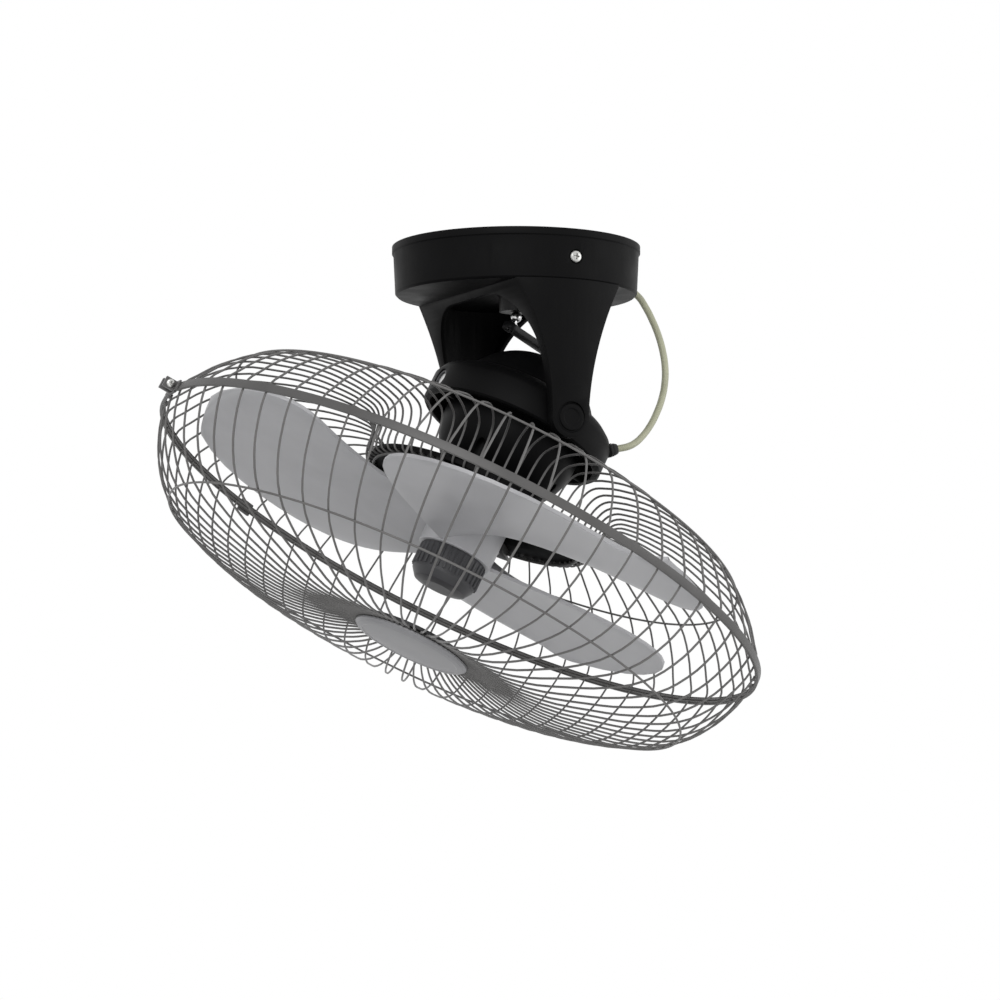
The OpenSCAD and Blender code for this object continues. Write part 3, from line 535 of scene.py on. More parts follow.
class ShaderBench:
    """Lays out the nodes of one material round its shader."""

    def __init__(self, slot: Slot) -> None:
        """Starts the material of a slot."""
        self.material = bpy.data.materials.new(slot.value)
        self.material.use_nodes = True
        self.tree = self.material.node_tree
        self.shader = self.tree.nodes["Principled BSDF"]
        self.place = self.add("TexCoord").outputs["Object"]
        self.reliefs: list[Node] = []

    def add(self, kind: str, inputs: dict[str | int, object] | None = None, **settings: object) -> Node:
        """Adds a node.

        Args:
            kind: The node's type, without its prefix.
            inputs: Values or feeding sockets, by the name or number of the input.
            settings: The node's own properties.

        Returns:
            The new node.
        """
        node = self.tree.nodes.new("ShaderNode" + kind)
        for key, value in settings.items():
            setattr(node, key, value)
        for key, value in (inputs or {}).items():
            if isinstance(value, NodeSocket):
                self.tree.links.new(value, node.inputs[key])
            else:
                node.inputs[key].default_value = value
        return node

    def turned(self, place: Matrix, stretch: Sequence[float] = (1, 1, 1)) -> NodeSocket:
        """Coordinates of another frame.

        Args:
            place: Where that frame lies.
            stretch: How much closer a pattern lies along each axis of that frame.

        Returns:
            The coordinates in that frame.
        """
        back = place.inverted()
        moved = self.add("Mapping", {"Vector": self.place, "Location": back.to_translation(),
                                     "Rotation": back.to_euler()})
        return self.add("Mapping", {"Vector": moved.outputs[0], "Scale": stretch}).outputs[0]

    def noise(self, scale: float, detail: float = 2, place: NodeSocket | None = None) -> NodeSocket:
        """Noise from about 0.3 to 0.7, with a scale in patches for each metre."""
        inputs = {"Vector": place or self.place, "Scale": scale, "Detail": detail}
        return self.add("TexNoise", inputs).outputs["Fac"]

    def lines(self, pitch: float, place: NodeSocket, rings: bool = False, waver: float = 0.4) -> NodeSocket:
        """Parallel lines or rings.

        Args:
            pitch: Distance from line to line.
            place: Coordinates, whose Z axis the lines lie across, or the rings lie round.
            rings: Whether to draw rings.
            waver: How much the lines waver.

        Returns:
            The lines, from 0 to 1.
        """
        kind = "RINGS" if rings else "BANDS"
        return self.add("TexWave", {"Vector": place, "Scale": math.tau / 20 / pitch, "Distortion": waver,
                                    "Detail": 2}, wave_type=kind, bands_direction="Z",
                        rings_direction="Z").outputs["Fac"]

    def spread(self, source: NodeSocket, low: float, high: float) -> NodeSocket:
        """Spreads noise over the values from low to high."""
        return self.add("MapRange", {"Value": source, "From Min": 0.3, "From Max": 0.7, "To Min": low,
                                     "To Max": high}).outputs[0]

    def tint(self, source: NodeSocket, dark: Colour, light: Colour) -> NodeSocket:
        """Mixes two colours by noise."""
        share = self.spread(source, 0, 1)
        mixed = self.add("Mix", {0: share, 6: (*dark, 1), 7: (*light, 1)}, data_type="RGBA")
        return mixed.outputs[2]

    def feed(self, name: str, source: NodeSocket) -> None:
        """Feeds an input of the shader."""
        self.tree.links.new(source, self.shader.inputs[name])

    def relief(self, source: NodeSocket, depth: float, strength: float = 1.0) -> None:
        """Raises the surface by noise.

        Args:
            source: The height, from 0 to 1.
            depth: How high the relief stands.
            strength: How strongly it shows.
        """
        bump = self.add("Bump", {"Height": source, "Distance": depth, "Strength": strength})
        if self.reliefs:
            self.tree.links.new(self.reliefs[-1].outputs[0], bump.inputs["Normal"])
        self.reliefs.append(bump)
        self.feed("Normal", bump.outputs[0])


@dataclass(frozen=True)
class Finish:
    """A plain finish: a colour that drifts in soft patches, and a gloss that drifts with it."""

    colour: Colour
    roughness: float = 0.4
    drift: float = 0.12
    patches: float = 40
    specular: float = 0.5
    metallic: float = 0.0

    def material(self, slot: Slot) -> Material:
        """Makes the material of a slot in this finish."""
        bench = ShaderBench(slot)
        bench.shader.inputs["Metallic"].default_value = self.metallic
        bench.shader.inputs["Specular IOR Level"].default_value = self.specular
        self.lay(bench)
        return bench.material

    def shade(self, share: float) -> Colour:
        """The colour made lighter or darker by a share."""
        return tuple(min(1.0, channel * (1 + share)) for channel in self.colour)

    def lay(self, bench: ShaderBench) -> None:
        """Lays the drifting colour and gloss."""
        patches = bench.noise(self.patches, detail=4)
        bench.feed("Base Color", bench.tint(patches, self.shade(-self.drift), self.shade(self.drift)))
        bench.feed("Roughness", bench.spread(patches, self.roughness * 0.88, self.roughness * 1.14))


@dataclass(frozen=True)
class Moulding(Finish):
    """Moulded plastic with the fine spark grain of its tool."""

    grain: float = 1500
    grain_depth: float = 0.018 * MM

    def lay(self, bench: ShaderBench) -> None:
        """Adds the tool's grain, and the slight waviness of a moulded wall."""
        super().lay(bench)
        bench.relief(bench.noise(60, detail=1), 0.12 * MM, 0.25)
        bench.relief(bench.noise(self.grain, detail=3), self.grain_depth)


@dataclass(frozen=True)
class PowderCoat(Finish):
    """Baked powder on steel: an orange peel skin with fine specks."""

    def lay(self, bench: ShaderBench) -> None:
        """Adds orange peel, and specks that are glossier than the rest."""
        super().lay(bench)
        specks = bench.noise(2600, detail=1)
        bench.feed("Roughness", bench.spread(specks, self.roughness * 0.8, self.roughness * 1.2))
        bench.relief(bench.noise(650, detail=2), 0.05 * MM, 0.6)


@dataclass(frozen=True)
class PlatedSteel(Finish):
    """Bright zinc plating with cloudy patches and hairline scratches."""

    metallic: float = 1.0
    roughness: float = 0.32

    def lay(self, bench: ShaderBench) -> None:
        """Adds clouds to the colour, and hairlines that catch the light."""
        super().lay(bench)
        hairlines = bench.noise(1, 3, bench.turned(Matrix.Identity(4), (120, 2600, 900)))
        bench.relief(hairlines, 0.01 * MM, 0.5)
        bench.relief(bench.noise(900), 0.012 * MM, 0.5)


@dataclass(frozen=True)
class GroundSteel(Finish):
    """Steel ground round the axis of the head, with fine rings left by the wheel."""

    metallic: float = 1.0
    roughness: float = 0.24

    def lay(self, bench: ShaderBench) -> None:
        """Adds the rings of the grinding wheel."""
        super().lay(bench)
        rings = bench.lines(0.18 * MM, bench.turned(HEAD.matrix), waver=2)
        bench.relief(rings, 0.004 * MM, 0.5)


@dataclass(frozen=True)
class CastMetal(Finish):
    """Die-cast or sintered metal, with a sandy skin and darker pores."""

    metallic: float = 1.0
    roughness: float = 0.48
    pores: float = 1800

    def lay(self, bench: ShaderBench) -> None:
        """Adds the sandy skin and the pores."""
        super().lay(bench)
        pores = bench.noise(self.pores, detail=3)
        bench.feed("Base Color", bench.tint(pores, self.shade(-0.3), self.shade(0.1)))
        bench.relief(pores, 0.03 * MM, 0.7)


@dataclass(frozen=True)
class SoftSheath(Finish):
    """Soft plastic or rubber with a dull bloom and faint marks of handling."""

    sheen: float = 0.15

    def lay(self, bench: ShaderBench) -> None:
        """Adds the bloom, and a fine uneven skin."""
        super().lay(bench)
        bench.shader.inputs["Sheen Weight"].default_value = self.sheen
        bench.shader.inputs["Sheen Roughness"].default_value = 0.5
        bench.relief(bench.noise(420, detail=2), 0.02 * MM, 0.3)
        bench.relief(bench.noise(3000, detail=1), 0.006 * MM, 0.4)


@dataclass(frozen=True)
class Nylon(Finish):
    """Natural nylon, slightly translucent and waxy."""

    def lay(self, bench: ShaderBench) -> None:
        """Adds the light that soaks into it, and a waxy skin."""
        super().lay(bench)
        bench.shader.inputs["Subsurface Weight"].default_value = 0.25
        bench.shader.inputs["Subsurface Radius"].default_value = (0.004, 0.003, 0.002)
        bench.shader.inputs["Subsurface Scale"].default_value = 0.3
        bench.relief(bench.noise(500), 0.03 * MM, 0.4)


@dataclass(frozen=True)
class StackedSheets(Finish):
    """Thin varnished steel sheets, stacked along the axis of the head."""

    metallic: float = 0.6
    sheet: float = 0.5 * MM

    def lay(self, bench: ShaderBench) -> None:
        """Adds the edge of each sheet."""
        super().lay(bench)
        sheets = bench.lines(self.sheet, bench.turned(HEAD.matrix), waver=0.2)
        bench.feed("Base Color", bench.tint(sheets, self.shade(-0.5), self.shade(0.2)))
        bench.relief(sheets, 0.04 * MM, 0.8)


@dataclass(frozen=True)
class WoundWire(Finish):
    """Enamelled copper wire, wound round the axis of the head."""

    metallic: float = 0.85
    strand: float = 0.7 * MM

    def lay(self, bench: ShaderBench) -> None:
        """Adds the strands, with painted shade darkening the grooves between them and painted highlight on
        their crowns.
        """
        super().lay(bench)
        strands_and_painted_shade = bench.lines(self.strand, bench.turned(HEAD.matrix), rings=True, waver=1.2)
        # painted shade and highlight: the colour darkens in the grooves between strands and lightens on their
        # crowns
        bench.feed("Base Color", bench.tint(strands_and_painted_shade, self.shade(-0.6), self.shade(0.3)))
        bench.relief(strands_and_painted_shade, 0.2 * MM)


FINISHES: dict[Slot, Finish] = {
    Slot.BLACK_PLASTIC: Moulding((0.0035, 0.0035, 0.0037), 0.48, specular=0.06),
    Slot.BLACK_RUBBER: SoftSheath((0.013, 0.013, 0.013), 0.62, specular=0.3),
    Slot.ZINC_STEEL: PlatedSteel((0.5, 0.5, 0.485)),
    Slot.GROUND_STEEL: GroundSteel((0.6, 0.6, 0.6)),
    Slot.GUARD_WIRE: PowderCoat((0.12, 0.117, 0.115), 0.4, specular=0.4),
    Slot.GUARD_TRIM: PowderCoat((0.085, 0.083, 0.082), 0.42, specular=0.35),
    Slot.GREY_BLADE: Moulding((0.41, 0.41, 0.424), 0.36, drift=0.06, grain=900, grain_depth=0.008 * MM),
    Slot.DARK_GREY_PLASTIC: Moulding((0.06, 0.06, 0.064), 0.4, specular=0.35),
    Slot.BADGE_GREY: Moulding((0.24, 0.24, 0.25), 0.36, drift=0.06, grain=2200, grain_depth=0.012 * MM),
    Slot.BADGE_BACK: Moulding((0.016, 0.016, 0.017), 0.45, specular=0.35),
    Slot.CORD_SHEATH: SoftSheath((0.40, 0.405, 0.285), 0.45, drift=0.08, patches=90),
    Slot.IVORY_NYLON: Nylon((0.72, 0.68, 0.56), 0.42, drift=0.06),
    Slot.BRASS: GroundSteel((0.72, 0.52, 0.22), 0.3),
    Slot.BRONZE: CastMetal((0.5, 0.33, 0.14), 0.42, pores=3200),
    Slot.LAMINATION: StackedSheets((0.16, 0.15, 0.15), 0.45),
    Slot.COPPER_WINDING: WoundWire((0.6, 0.24, 0.1), 0.3),
    Slot.CAST_ZINC: CastMetal((0.42, 0.42, 0.43)),
    Slot.CAPACITOR_CASE: Moulding((0.62, 0.62, 0.6), 0.38, drift=0.05),
    Slot.BLACK_COAT: PowderCoat((0.007, 0.007, 0.0075), 0.46, specular=0.3),
}


def made_materials() -> dict[Slot, Material]:
    """Makes the material of every slot."""
    return {slot: finish.material(slot) for slot, finish in FINISHES.items()}


MATERIALS = made_materials()


def dress(piece: Object, slot: Slot) -> None:
    """Gives a piece the material of a slot."""
    if not piece.material_slots:
        piece.data.materials.append(MATERIALS[slot])
    for place in piece.material_slots:
        place.material = MATERIALS[slot]


def dress_frame() -> None:
    """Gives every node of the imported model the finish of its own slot."""
    for row in frame["record"]["subparts"]:
        dress(frame["nodes"][row["node"]], Slot(row["material_slot"]))


# ------------------------------------------------------------------ shared parts


@dataclass(frozen=True)
class CrossScrew:
    """A pan head screw with a cross recess."""

    shank: float = 1.5 * MM
    length: float = 6 * MM
    head: float = 2.9 * MM
    rise: float = 2.0 * MM

    def make(self) -> Object:
        """Makes the screw with its head's seat at z = 0 and its shank toward -Z."""
        outline = [(0, -self.length), (self.shank * 0.75, -self.length), (self.shank, -self.length * 0.85),
                   (self.shank, 0), (self.head, 0), (self.head, self.rise * 0.45),
                   (self.head * 0.85, self.rise * 0.85), (self.head * 0.45, self.rise), (0, self.rise)]
        screw = lathe("screw", filleted(outline, self.rise * 0.25, 2), steps=24)
        reach, arm = self.head * 0.6, self.head * 0.13
        for long, wide in ((reach, arm), (arm, reach)):
            floor = self.rise * 0.25
            cut(screw, block("recess", (-long, -wide, floor), (long, wide, self.rise * 1.5), taper=0.55))
        return smooth(screw, 40)

    def set_of(self, name: str, places: Sequence[Matrix]) -> Object:
        """Makes one screw at each place, all in one piece."""
        return copied(name, self.make(), places)


@dataclass
class SubAssembly:
    """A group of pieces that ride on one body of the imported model."""

    body: str = "canopy"
    pieces: list[Object] = field(default_factory=list)

    def fit(self, piece: Object, slot: Slot, *stands_for: str) -> Object:
        """Finishes a piece: gives it its material, its body and the nodes it stands for.

        Args:
            piece: The piece, already at its place.
            slot: The material slot that it takes its finish from.
            stands_for: CAD nodes that the piece replaces.

        Returns:
            The same piece.
        """
        dress(piece, slot)
        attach(piece, self.body)
        if stands_for:
            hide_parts(*stands_for)
        self.pieces.append(piece)
        return piece

    def rounded_copy(self, node: str, slot: Slot, edge: float, angle: float = 32) -> Object:
        """Fits a copy of a CAD node whose edges are rounded, in place of the node."""
        return self.fit(smooth(softened(node, edge, angle=angle), 38), slot, node)

    def circle_of_screws(self, node: str, screw: CrossScrew, count: int, start: float, radius: float,
                         facing_front: bool = True) -> None:
        """Fits screws on a circle round the head's axis, in place of a CAD node.

        Args:
            node: The CAD node's name.
            screw: The kind of screw.
            count: How many screws.
            start: Angle of the first, in degrees.
            radius: Radius of the circle.
            facing_front: Whether the screws' heads face the front of the head, or the rear.
        """
        low, high = HEAD.box(node)
        seat = low.z + screw.rise if facing_front else high.z - screw.rise
        places = circle_places(count, start, radius, seat, facing_front)
        self.fit(screw.set_of(node + "_made", places), Slot.ZINC_STEEL, node)

    def build(self) -> None:
        """Builds and fits the pieces of the group."""
        raise NotImplementedError


# ------------------------------------------------------------------ canopy and yoke


@dataclass
class CanopyYoke(SubAssembly):
    """The round canopy with its two arms, their bushes, the side screws, the caps and the crank's socket."""

    edge: float = 0.6 * MM
    cap_radius: float = 10.4 * MM
    cap_rise: float = 2.8 * MM
    bush_bore: float = 5.05 * MM
    bush_inside: float = 70.9 * MM
    arm_face: float = 72 * MM
    bush_flange: float = 1.5 * MM
    side_screw: CrossScrew = CrossScrew(shank=2 * MM, length=9 * MM, head=4.25 * MM, rise=2.4 * MM)
    side_screw_turns: tuple[float, float] = (-5, 45)

    def build(self) -> None:
        """Builds the moulding, the screws, the caps, the socket and the bushes."""
        self.rounded_copy("canopy_yoke", Slot.BLACK_PLASTIC, self.edge)
        self.fit(self.side_screws(), Slot.ZINC_STEEL, "canopy_screws")
        self.fit(self.pivot_caps(), Slot.BLACK_PLASTIC, "pivot_caps")
        self.rounded_copy("crank_socket", Slot.BLACK_COAT, 0.4 * MM)
        self.fit(self.bushes(), Slot.DARK_GREY_PLASTIC, "yoke_bushes")

    def side_screws(self) -> Object:
        """Makes the two screws in the canopy's wall."""
        low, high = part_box("canopy_screws")
        places = on_both_arms(high.y - self.side_screw.rise, (low.z + high.z) / 2)
        turned = [place @ about_axis(turn) for place, turn in zip(places, self.side_screw_turns)]
        return self.side_screw.set_of("side_screws", turned)

    def pivot_caps(self) -> Object:
        """Makes the dished caps that close the ends of the pivots."""
        edge, top = self.cap_radius, self.cap_rise
        outline = [(0, 0), (edge, 0), (edge, 1.7 * MM), (edge - 1.1 * MM, 1.8 * MM), (edge - 1.5 * MM, top),
                   (edge * 0.6, top), (edge * 0.52, top - 0.5 * MM), (0, top - 0.35 * MM)]
        cap = smooth(lathe("pivot_cap", filleted(outline, 0.35 * MM, 3), steps=72), 50)
        low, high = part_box("pivot_caps")
        return copied("pivot_caps_made", cap, on_both_arms(high.y - top, (low.z + high.z) / 2))

    def bushes(self) -> Object:
        """Makes the flanged nylon bushes in the ends of the arms."""
        low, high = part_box("yoke_bushes")
        bore, start, end, flange = self.bush_bore, self.bush_inside, high.y, (high.z - low.z) / 2
        outer = flange - self.bush_flange
        outline = [(bore, start), (flange, start), (flange, self.arm_face), (outer, self.arm_face),
                   (outer, end), (bore, end)]
        bush = smooth(lathe("yoke_bush", filleted(outline, 0.3 * MM, 2), steps=48), 50)
        return copied("yoke_bushes_made", bush, on_both_arms(0, (low.z + high.z) / 2))


@dataclass
class LeadCord(SubAssembly):
    """The lead from the canopy to the gimbal ring, with its grommet and its run inside the canopy.

    Attributes:
        leaves_at: Angle at which the lead leaves the canopy's wall, in degrees.
        wall_inside: Distance of the wall's inner face from the middle.
        grommet_form: Steps of the grommet as (out from its neck, out from the wall), in millimetres.
        route: Points of the free lead, in millimetres.
        inner_route: Points of the lead inside the canopy, in millimetres.
        bends_from: Not used.
        bends_to: Not used.
    """

    thickness: float = 5 * MM
    fit_round: float = 0.15 * MM
    leaves_at: float = -4
    leaves_height: float = -25 * MM
    wall_inside: float = 83.5 * MM
    neck_wall: float = 1.8 * MM
    grommet_form: tuple[tuple[float, float], ...] = (
        (1.8, -2.2), (1.8, -0.4), (0, -0.4), (0, 3.1), (1.4, 3.1), (1.4, 5.1), (0, 5.2), (0, 5.7),
        (-0.5, 5.8), (-0.5, 6.2), (0, 6.3), (-0.3, 7))
    route: tuple[tuple[float, float, float], ...] = (
        (78, -5.5, -25), (86, -6, -25), (91.2, -6.4, -25.1), (96.6, -7.2, -28.4), (101.8, -8.4, -35.6),
        (106.5, -10, -45), (110.6, -11.8, -56), (113.2, -13.8, -68), (113.8, -16, -80), (112, -18.4, -92),
        (107.8, -21, -103.8), (101.5, -23.8, -115), (94, -26.6, -125), (86, -29.2, -132.8),
        (78.5, -31.4, -138), (72.2, -32.2, -140.7), (66.2, -30.5, -142.1), (62.4, -29.2, -143))
    inner_route: tuple[tuple[float, float, float], ...] = (
        (78, -5.5, -25), (70, -5, -25), (61.5, -2.5, -24), (53, 3.5, -21.5), (44.5, 12, -18), (36, 22, -14.5),
        (28, 30.5, -12.5), (21.5, 35.2, -12), (16.4, 36, -12))
    bends_from: tuple[float, float, float] = (0.129, -0.014, -0.101)
    bends_to: tuple[float, float, float] = (0.067, -0.035, -0.138)

    def build(self) -> None:
        """Builds the lead, its inner run and the grommet."""
        self.lead()
        inner = tube("inner_lead_made", self.points(self.inner_route), self.thickness / 2, sides=3)
        self.fit(smooth(inner, 60), Slot.CORD_SHEATH, "inner_lead")
        self.fit(self.grommet(), Slot.BLACK_RUBBER, "cord_grommet")

    def points(self, route: Iterable[tuple[float, float, float]]) -> list[Vector]:
        """A route in metres."""
        return [Vector(point) * MM for point in route]

    def lead(self) -> None:
        """Makes the free lead, which runs in a curve from the canopy to the gimbal ring."""
        points = self.points(self.route)
        stretches = 8
        line = centre_line(points, stretches)
        lead = smooth(tube("lead_cord_made", points, self.thickness / 2, stretches, sides=3), 60)
        dress(lead, Slot.CORD_SHEATH)
        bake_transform(lead)
        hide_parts("lead_cord")
        self.pieces.append(lead)

    def grommet(self) -> Object:
        """Makes the rubber grommet in the canopy's wall, with its ribbed sleeve."""
        bore, neck = self.thickness / 2 + self.fit_round, self.thickness / 2 + self.neck_wall
        form = [(neck + out * MM, self.wall_inside + along * MM) for out, along in self.grommet_form]
        outline = [(bore, form[0][1]), *form, (bore, form[-1][1])]
        piece = smooth(lathe("cord_grommet_made", filleted(outline, 0.3 * MM, 2), steps=48), 50)
        angle = math.radians(self.leaves_at)
        out = Vector((math.cos(angle), math.sin(angle), 0))
        return settle(piece, facing(Vector((0, 0, self.leaves_height)), out))


@dataclass
class GimbalRing(SubAssembly):
    """The ring between the yoke and the head, its bushes and the gland of the lead.

    Attributes:
        gland_at: Angle of the gland on the ring, in degrees.
        gland_form: Steps of the domed nut as (radius, height), in millimetres.
    """

    body: str = "gimbal"
    outer: float = 68 * MM
    shoulder: float = 12 * MM
    height: float = 19 * MM
    gland_at: float = -25
    gland_bore: float = 2.65 * MM
    sleeve: float = 3.5 * MM
    collar: float = 4.95 * MM
    gland_form: tuple[tuple[float, float], ...] = ((4.4, 3.9), (4.3, 5.2), (3.6, 6.9), (3.2, 7.5))
    bush_bore: float = 5.05 * MM
    bush_length: float = 9.5 * MM

    def build(self) -> None:
        """Builds the ring, its bushes and the gland."""
        self.rounded_copy("gimbal_ring", Slot.BLACK_PLASTIC, 0.5 * MM)
        self.fit(self.gland(), Slot.BLACK_RUBBER, "cord_gland")
        self.fit(self.bushes(), Slot.DARK_GREY_PLASTIC, "ring_bushes")

    def gland(self) -> Object:
        """Makes the gland: a hexagonal collar, a domed nut and the sleeve in the ring."""
        bore, sleeve, edge = self.gland_bore, self.sleeve, self.collar
        inner = [(bore, -sleeve), (sleeve, -sleeve), (sleeve, 2.1 * MM), (bore, 2.1 * MM)]
        collar = [(bore, 2 * MM), (edge, 2 * MM), (edge, 4 * MM), (bore, 4 * MM)]
        form = [(radius * MM, height * MM) for radius, height in self.gland_form]
        nut = filleted([(bore, form[0][1]), *form, (bore, form[-1][1])], 0.5 * MM, 3)
        hexagon = rounded(lathe("collar", collar, steps=6), 0.25 * MM, 2, 40)
        parts = [lathe("sleeve", inner, steps=36), hexagon, lathe("nut", nut, steps=48)]
        gland = smooth(joined("cord_gland_made", parts), 45)
        tilt = math.atan2(9 * MM, 0.6 * self.shoulder)
        place = (HEAD.matrix @ about_axis(self.gland_at)
                 @ Matrix.Translation((self.outer - 0.2 * self.shoulder, 0, self.height / 2 + 3 * MM))
                 @ Matrix.Rotation(tilt, 4, "Y"))
        return settle(gland, place)

    def bushes(self) -> Object:
        """Makes the two bushes of the head's pins."""
        low, high = HEAD.box("ring_bushes")
        outer = (high.y - low.y) / 2
        start, bore = high.x - self.bush_length, self.bush_bore
        outline = [(bore, start), (outer, start), (outer, high.x), (bore, high.x)]
        bush = smooth(lathe("ring_bush", filleted(outline, 0.4 * MM, 3), steps=48), 50)
        places = [HEAD.matrix @ facing(Vector(), Vector((side, 0, 0))) for side in (-1, 1)]
        return copied("ring_bushes_made", bush, places)


# ------------------------------------------------------------------ motor head


@dataclass
class MotorHead(SubAssembly):
    """The ball-shaped motor housing and the screws that hold its two shells."""

    body: str = "head"
    edge: float = 0.8 * MM
    screw_circle: float = 42 * MM
    shell_screw: CrossScrew = CrossScrew(shank=1.5 * MM, length=16 * MM, head=3.4 * MM, rise=2.2 * MM)

    def build(self) -> None:
        """Builds both shells and their screws."""
        self.rounded_copy("motor_rear_shell", Slot.BLACK_PLASTIC, self.edge)
        self.rounded_copy("motor_front_shell", Slot.BLACK_PLASTIC, self.edge)
        self.circle_of_screws("shell_screws", self.shell_screw, count=4, start=45, radius=self.screw_circle)


@dataclass
class GuardMount(SubAssembly):
    """The dished mount of the guard, its ribs, and the clamps on the guard's centre ring."""

    body: str = "head"
    mount_screw: CrossScrew = CrossScrew(length=8.5 * MM)
    clamp_screw: CrossScrew = CrossScrew(length=8.5 * MM, rise=1.8 * MM)
    mount_circle: float = 22 * MM
    clamp_circle: float = 69 * MM

    def build(self) -> None:
        """Builds the mount, the clamps and the screws of both."""
        self.rounded_copy("guard_mount", Slot.BLACK_PLASTIC, 0.35 * MM)
        self.rounded_copy("guard_clamps", Slot.GUARD_TRIM, 0.6 * MM)
        self.circle_of_screws("mount_screws", self.mount_screw, count=4, start=0, radius=self.mount_circle)
        self.circle_of_screws("clamp_screws", self.clamp_screw, count=4, start=45, radius=self.clamp_circle)


# ------------------------------------------------------------------ wire guard


@dataclass
class WireGuard(SubAssembly):
    """Both halves of the wire guard, the band that joins them, its buckle and the clip.

    Attributes:
        rim_ahead: Distance of the rims in front of the gimbal centre.
        well: Radius at which the rear half dips toward its centre ring.
        seat_back: How far the centre ring's seat lies behind the rims.
        seat_form: Bends at the seat as (out from the well, ahead of the seat), in millimetres.
        well_form: Bends in the well as (out from it, ahead of the shoulder), in millimetres.
        rear_form: Bends of a rear wire as shares of the way from the rim to the well and of the depth.
        front_form: Bends of a front wire as shares of the way from the rim to the badge and of the depth.
        rear_ring_at: Which of the rear bends carries the thin ring.
        front_ring_at: Which of the front bends carries the thin ring.
        rear_off: Direction off the wires at the rear ring, as (outward, backward).
        front_off: Direction off the wires at the front ring, as (outward, backward).
    """

    body: str = "head"
    rim: float = 225 * MM
    rim_ahead: float = 101 * MM
    rear_depth: float = 64 * MM
    front_depth: float = 71 * MM
    well: float = 91 * MM
    badge_ring: float = 38 * MM
    centre_ring: float = 79 * MM
    wire: float = 1.5 * MM
    rim_wire: float = 2 * MM
    seat_back: float = 35 * MM
    wires: int = 64
    band_thickness: float = 0.6 * MM
    buckle_at: float = 175
    seat_form: tuple[tuple[float, float], ...] = ((-7, 0), (-4.2, -3.5))
    well_form: tuple[tuple[float, float], ...] = ((-2.6, 16), (0, 7), (4.5, 2))
    rear_form: tuple[tuple[float, float], ...] = (
        (0.91, 0), (0.73, 0), (0.61, 0.035), (0.43, 0.15), (0.255, 0.312), (0.127, 0.562), (0.052, 0.79))
    front_form: tuple[tuple[float, float], ...] = (
        (0.035, 0.285), (0.09, 0.55), (0.175, 0.77), (0.305, 0.92), (0.46, 1.015), (0.66, 1.09), (0.85, 1.06),
        (0.945, 1.012))
    rear_ring_at: int = 4
    front_ring_at: int = 2
    rear_off: tuple[float, float] = (0.54, 0.84)
    front_off: tuple[float, float] = (0.52, -0.85)

    @property
    def wire_end(self) -> float:
        """Radius at which the wires meet the rims."""
        return self.rim - (self.rim_wire + self.wire) / 2 + 0.3 * MM

    @property
    def rear_top(self) -> float:
        """Depth of the rear half's shoulder, in front of the gimbal centre."""
        return self.rim_ahead - self.rear_depth

    @property
    def badge_depth(self) -> float:
        """Depth of the badge's ring, in front of the gimbal centre."""
        return self.rim_ahead + self.front_depth

    @property
    def band_outside(self) -> float:
        """Outside radius of the band."""
        return self.rim + self.rim_wire / 2 + 0.1 * MM + self.band_thickness

    @property
    def rim_gap(self) -> float:
        """Half of the distance between the two rims."""
        return self.rim_wire / 2 + 0.05 * MM

    def rear_bend(self, form: tuple[float, float]) -> tuple[float, float]:
        """A bend of a rear wire as (radius, depth), from its shares."""
        share, depth = form
        return self.rim - share * (self.rim - self.well), self.rear_top + depth * self.rear_depth

    def front_bend(self, form: tuple[float, float]) -> tuple[float, float]:
        """A bend of a front wire as (radius, depth), from its shares."""
        share, depth = form
        return self.rim - share * (self.rim - self.badge_ring), self.rim_ahead + depth * self.front_depth

    def rear_points(self) -> list[tuple[float, float]]:
        """The path of a rear wire as (radius, depth), from the centre ring to the rim."""
        seat = self.rim_ahead - self.seat_back + self.wire / 2
        path = [(self.centre_ring - 1.5 * MM, seat)]
        path += [(self.well + out * MM, seat + ahead * MM) for out, ahead in self.seat_form]
        path += [(self.well + out * MM, self.rear_top + ahead * MM) for out, ahead in self.well_form]
        path += [self.rear_bend(form) for form in self.rear_form]
        return path + [(self.wire_end - 0.4 * MM, self.rim_ahead - 5 * MM),
                       (self.wire_end, self.rim_ahead - self.rim_gap)]

    def front_points(self) -> list[tuple[float, float]]:
        """The path of a front wire as (radius, depth), from the rim to the badge."""
        path = [(self.wire_end, self.rim_ahead + self.rim_gap),
                (self.wire_end - 0.4 * MM, self.rim_ahead + 5 * MM)]
        path += [self.front_bend(form) for form in self.front_form]
        return path + [(self.badge_ring, self.badge_depth)]

    def thin_ring(self, bend: tuple[float, float], off: tuple[float, float]) -> Object:
        """Makes a thin ring that lies on the outside of the wires.

        Args:
            bend: Where the wires run under the ring, as (radius, depth).
            off: Direction off the wires, as (outward, backward).

        Returns:
            The ring, in the head frame.
        """
        lift = 0.75 * self.wire
        radius, depth = bend
        outward, backward = off
        return ring(radius + outward * lift, backward * lift - depth, self.wire)

    def cage(self, name: str, path: Sequence[tuple[float, float]], rings: Sequence[Object]) -> Object:
        """Makes one half of the guard.

        Args:
            name: Name of the piece.
            path: The path of one wire, as (radius, depth).
            rings: The rings that the wires are welded to.

        Returns:
            The wires and rings as one piece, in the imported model's frame.
        """
        points = [Vector((radius, 0, -depth)) for radius, depth in path]
        wires = tube("wires", points, self.wire / 2, resolution=3, sides=1)
        settle(wires, about_axis(45 + 180 / self.wires))
        repeated(wires, self.wires)
        return smooth(settle(joined(name, [wires, *rings]), HEAD.matrix), 60)

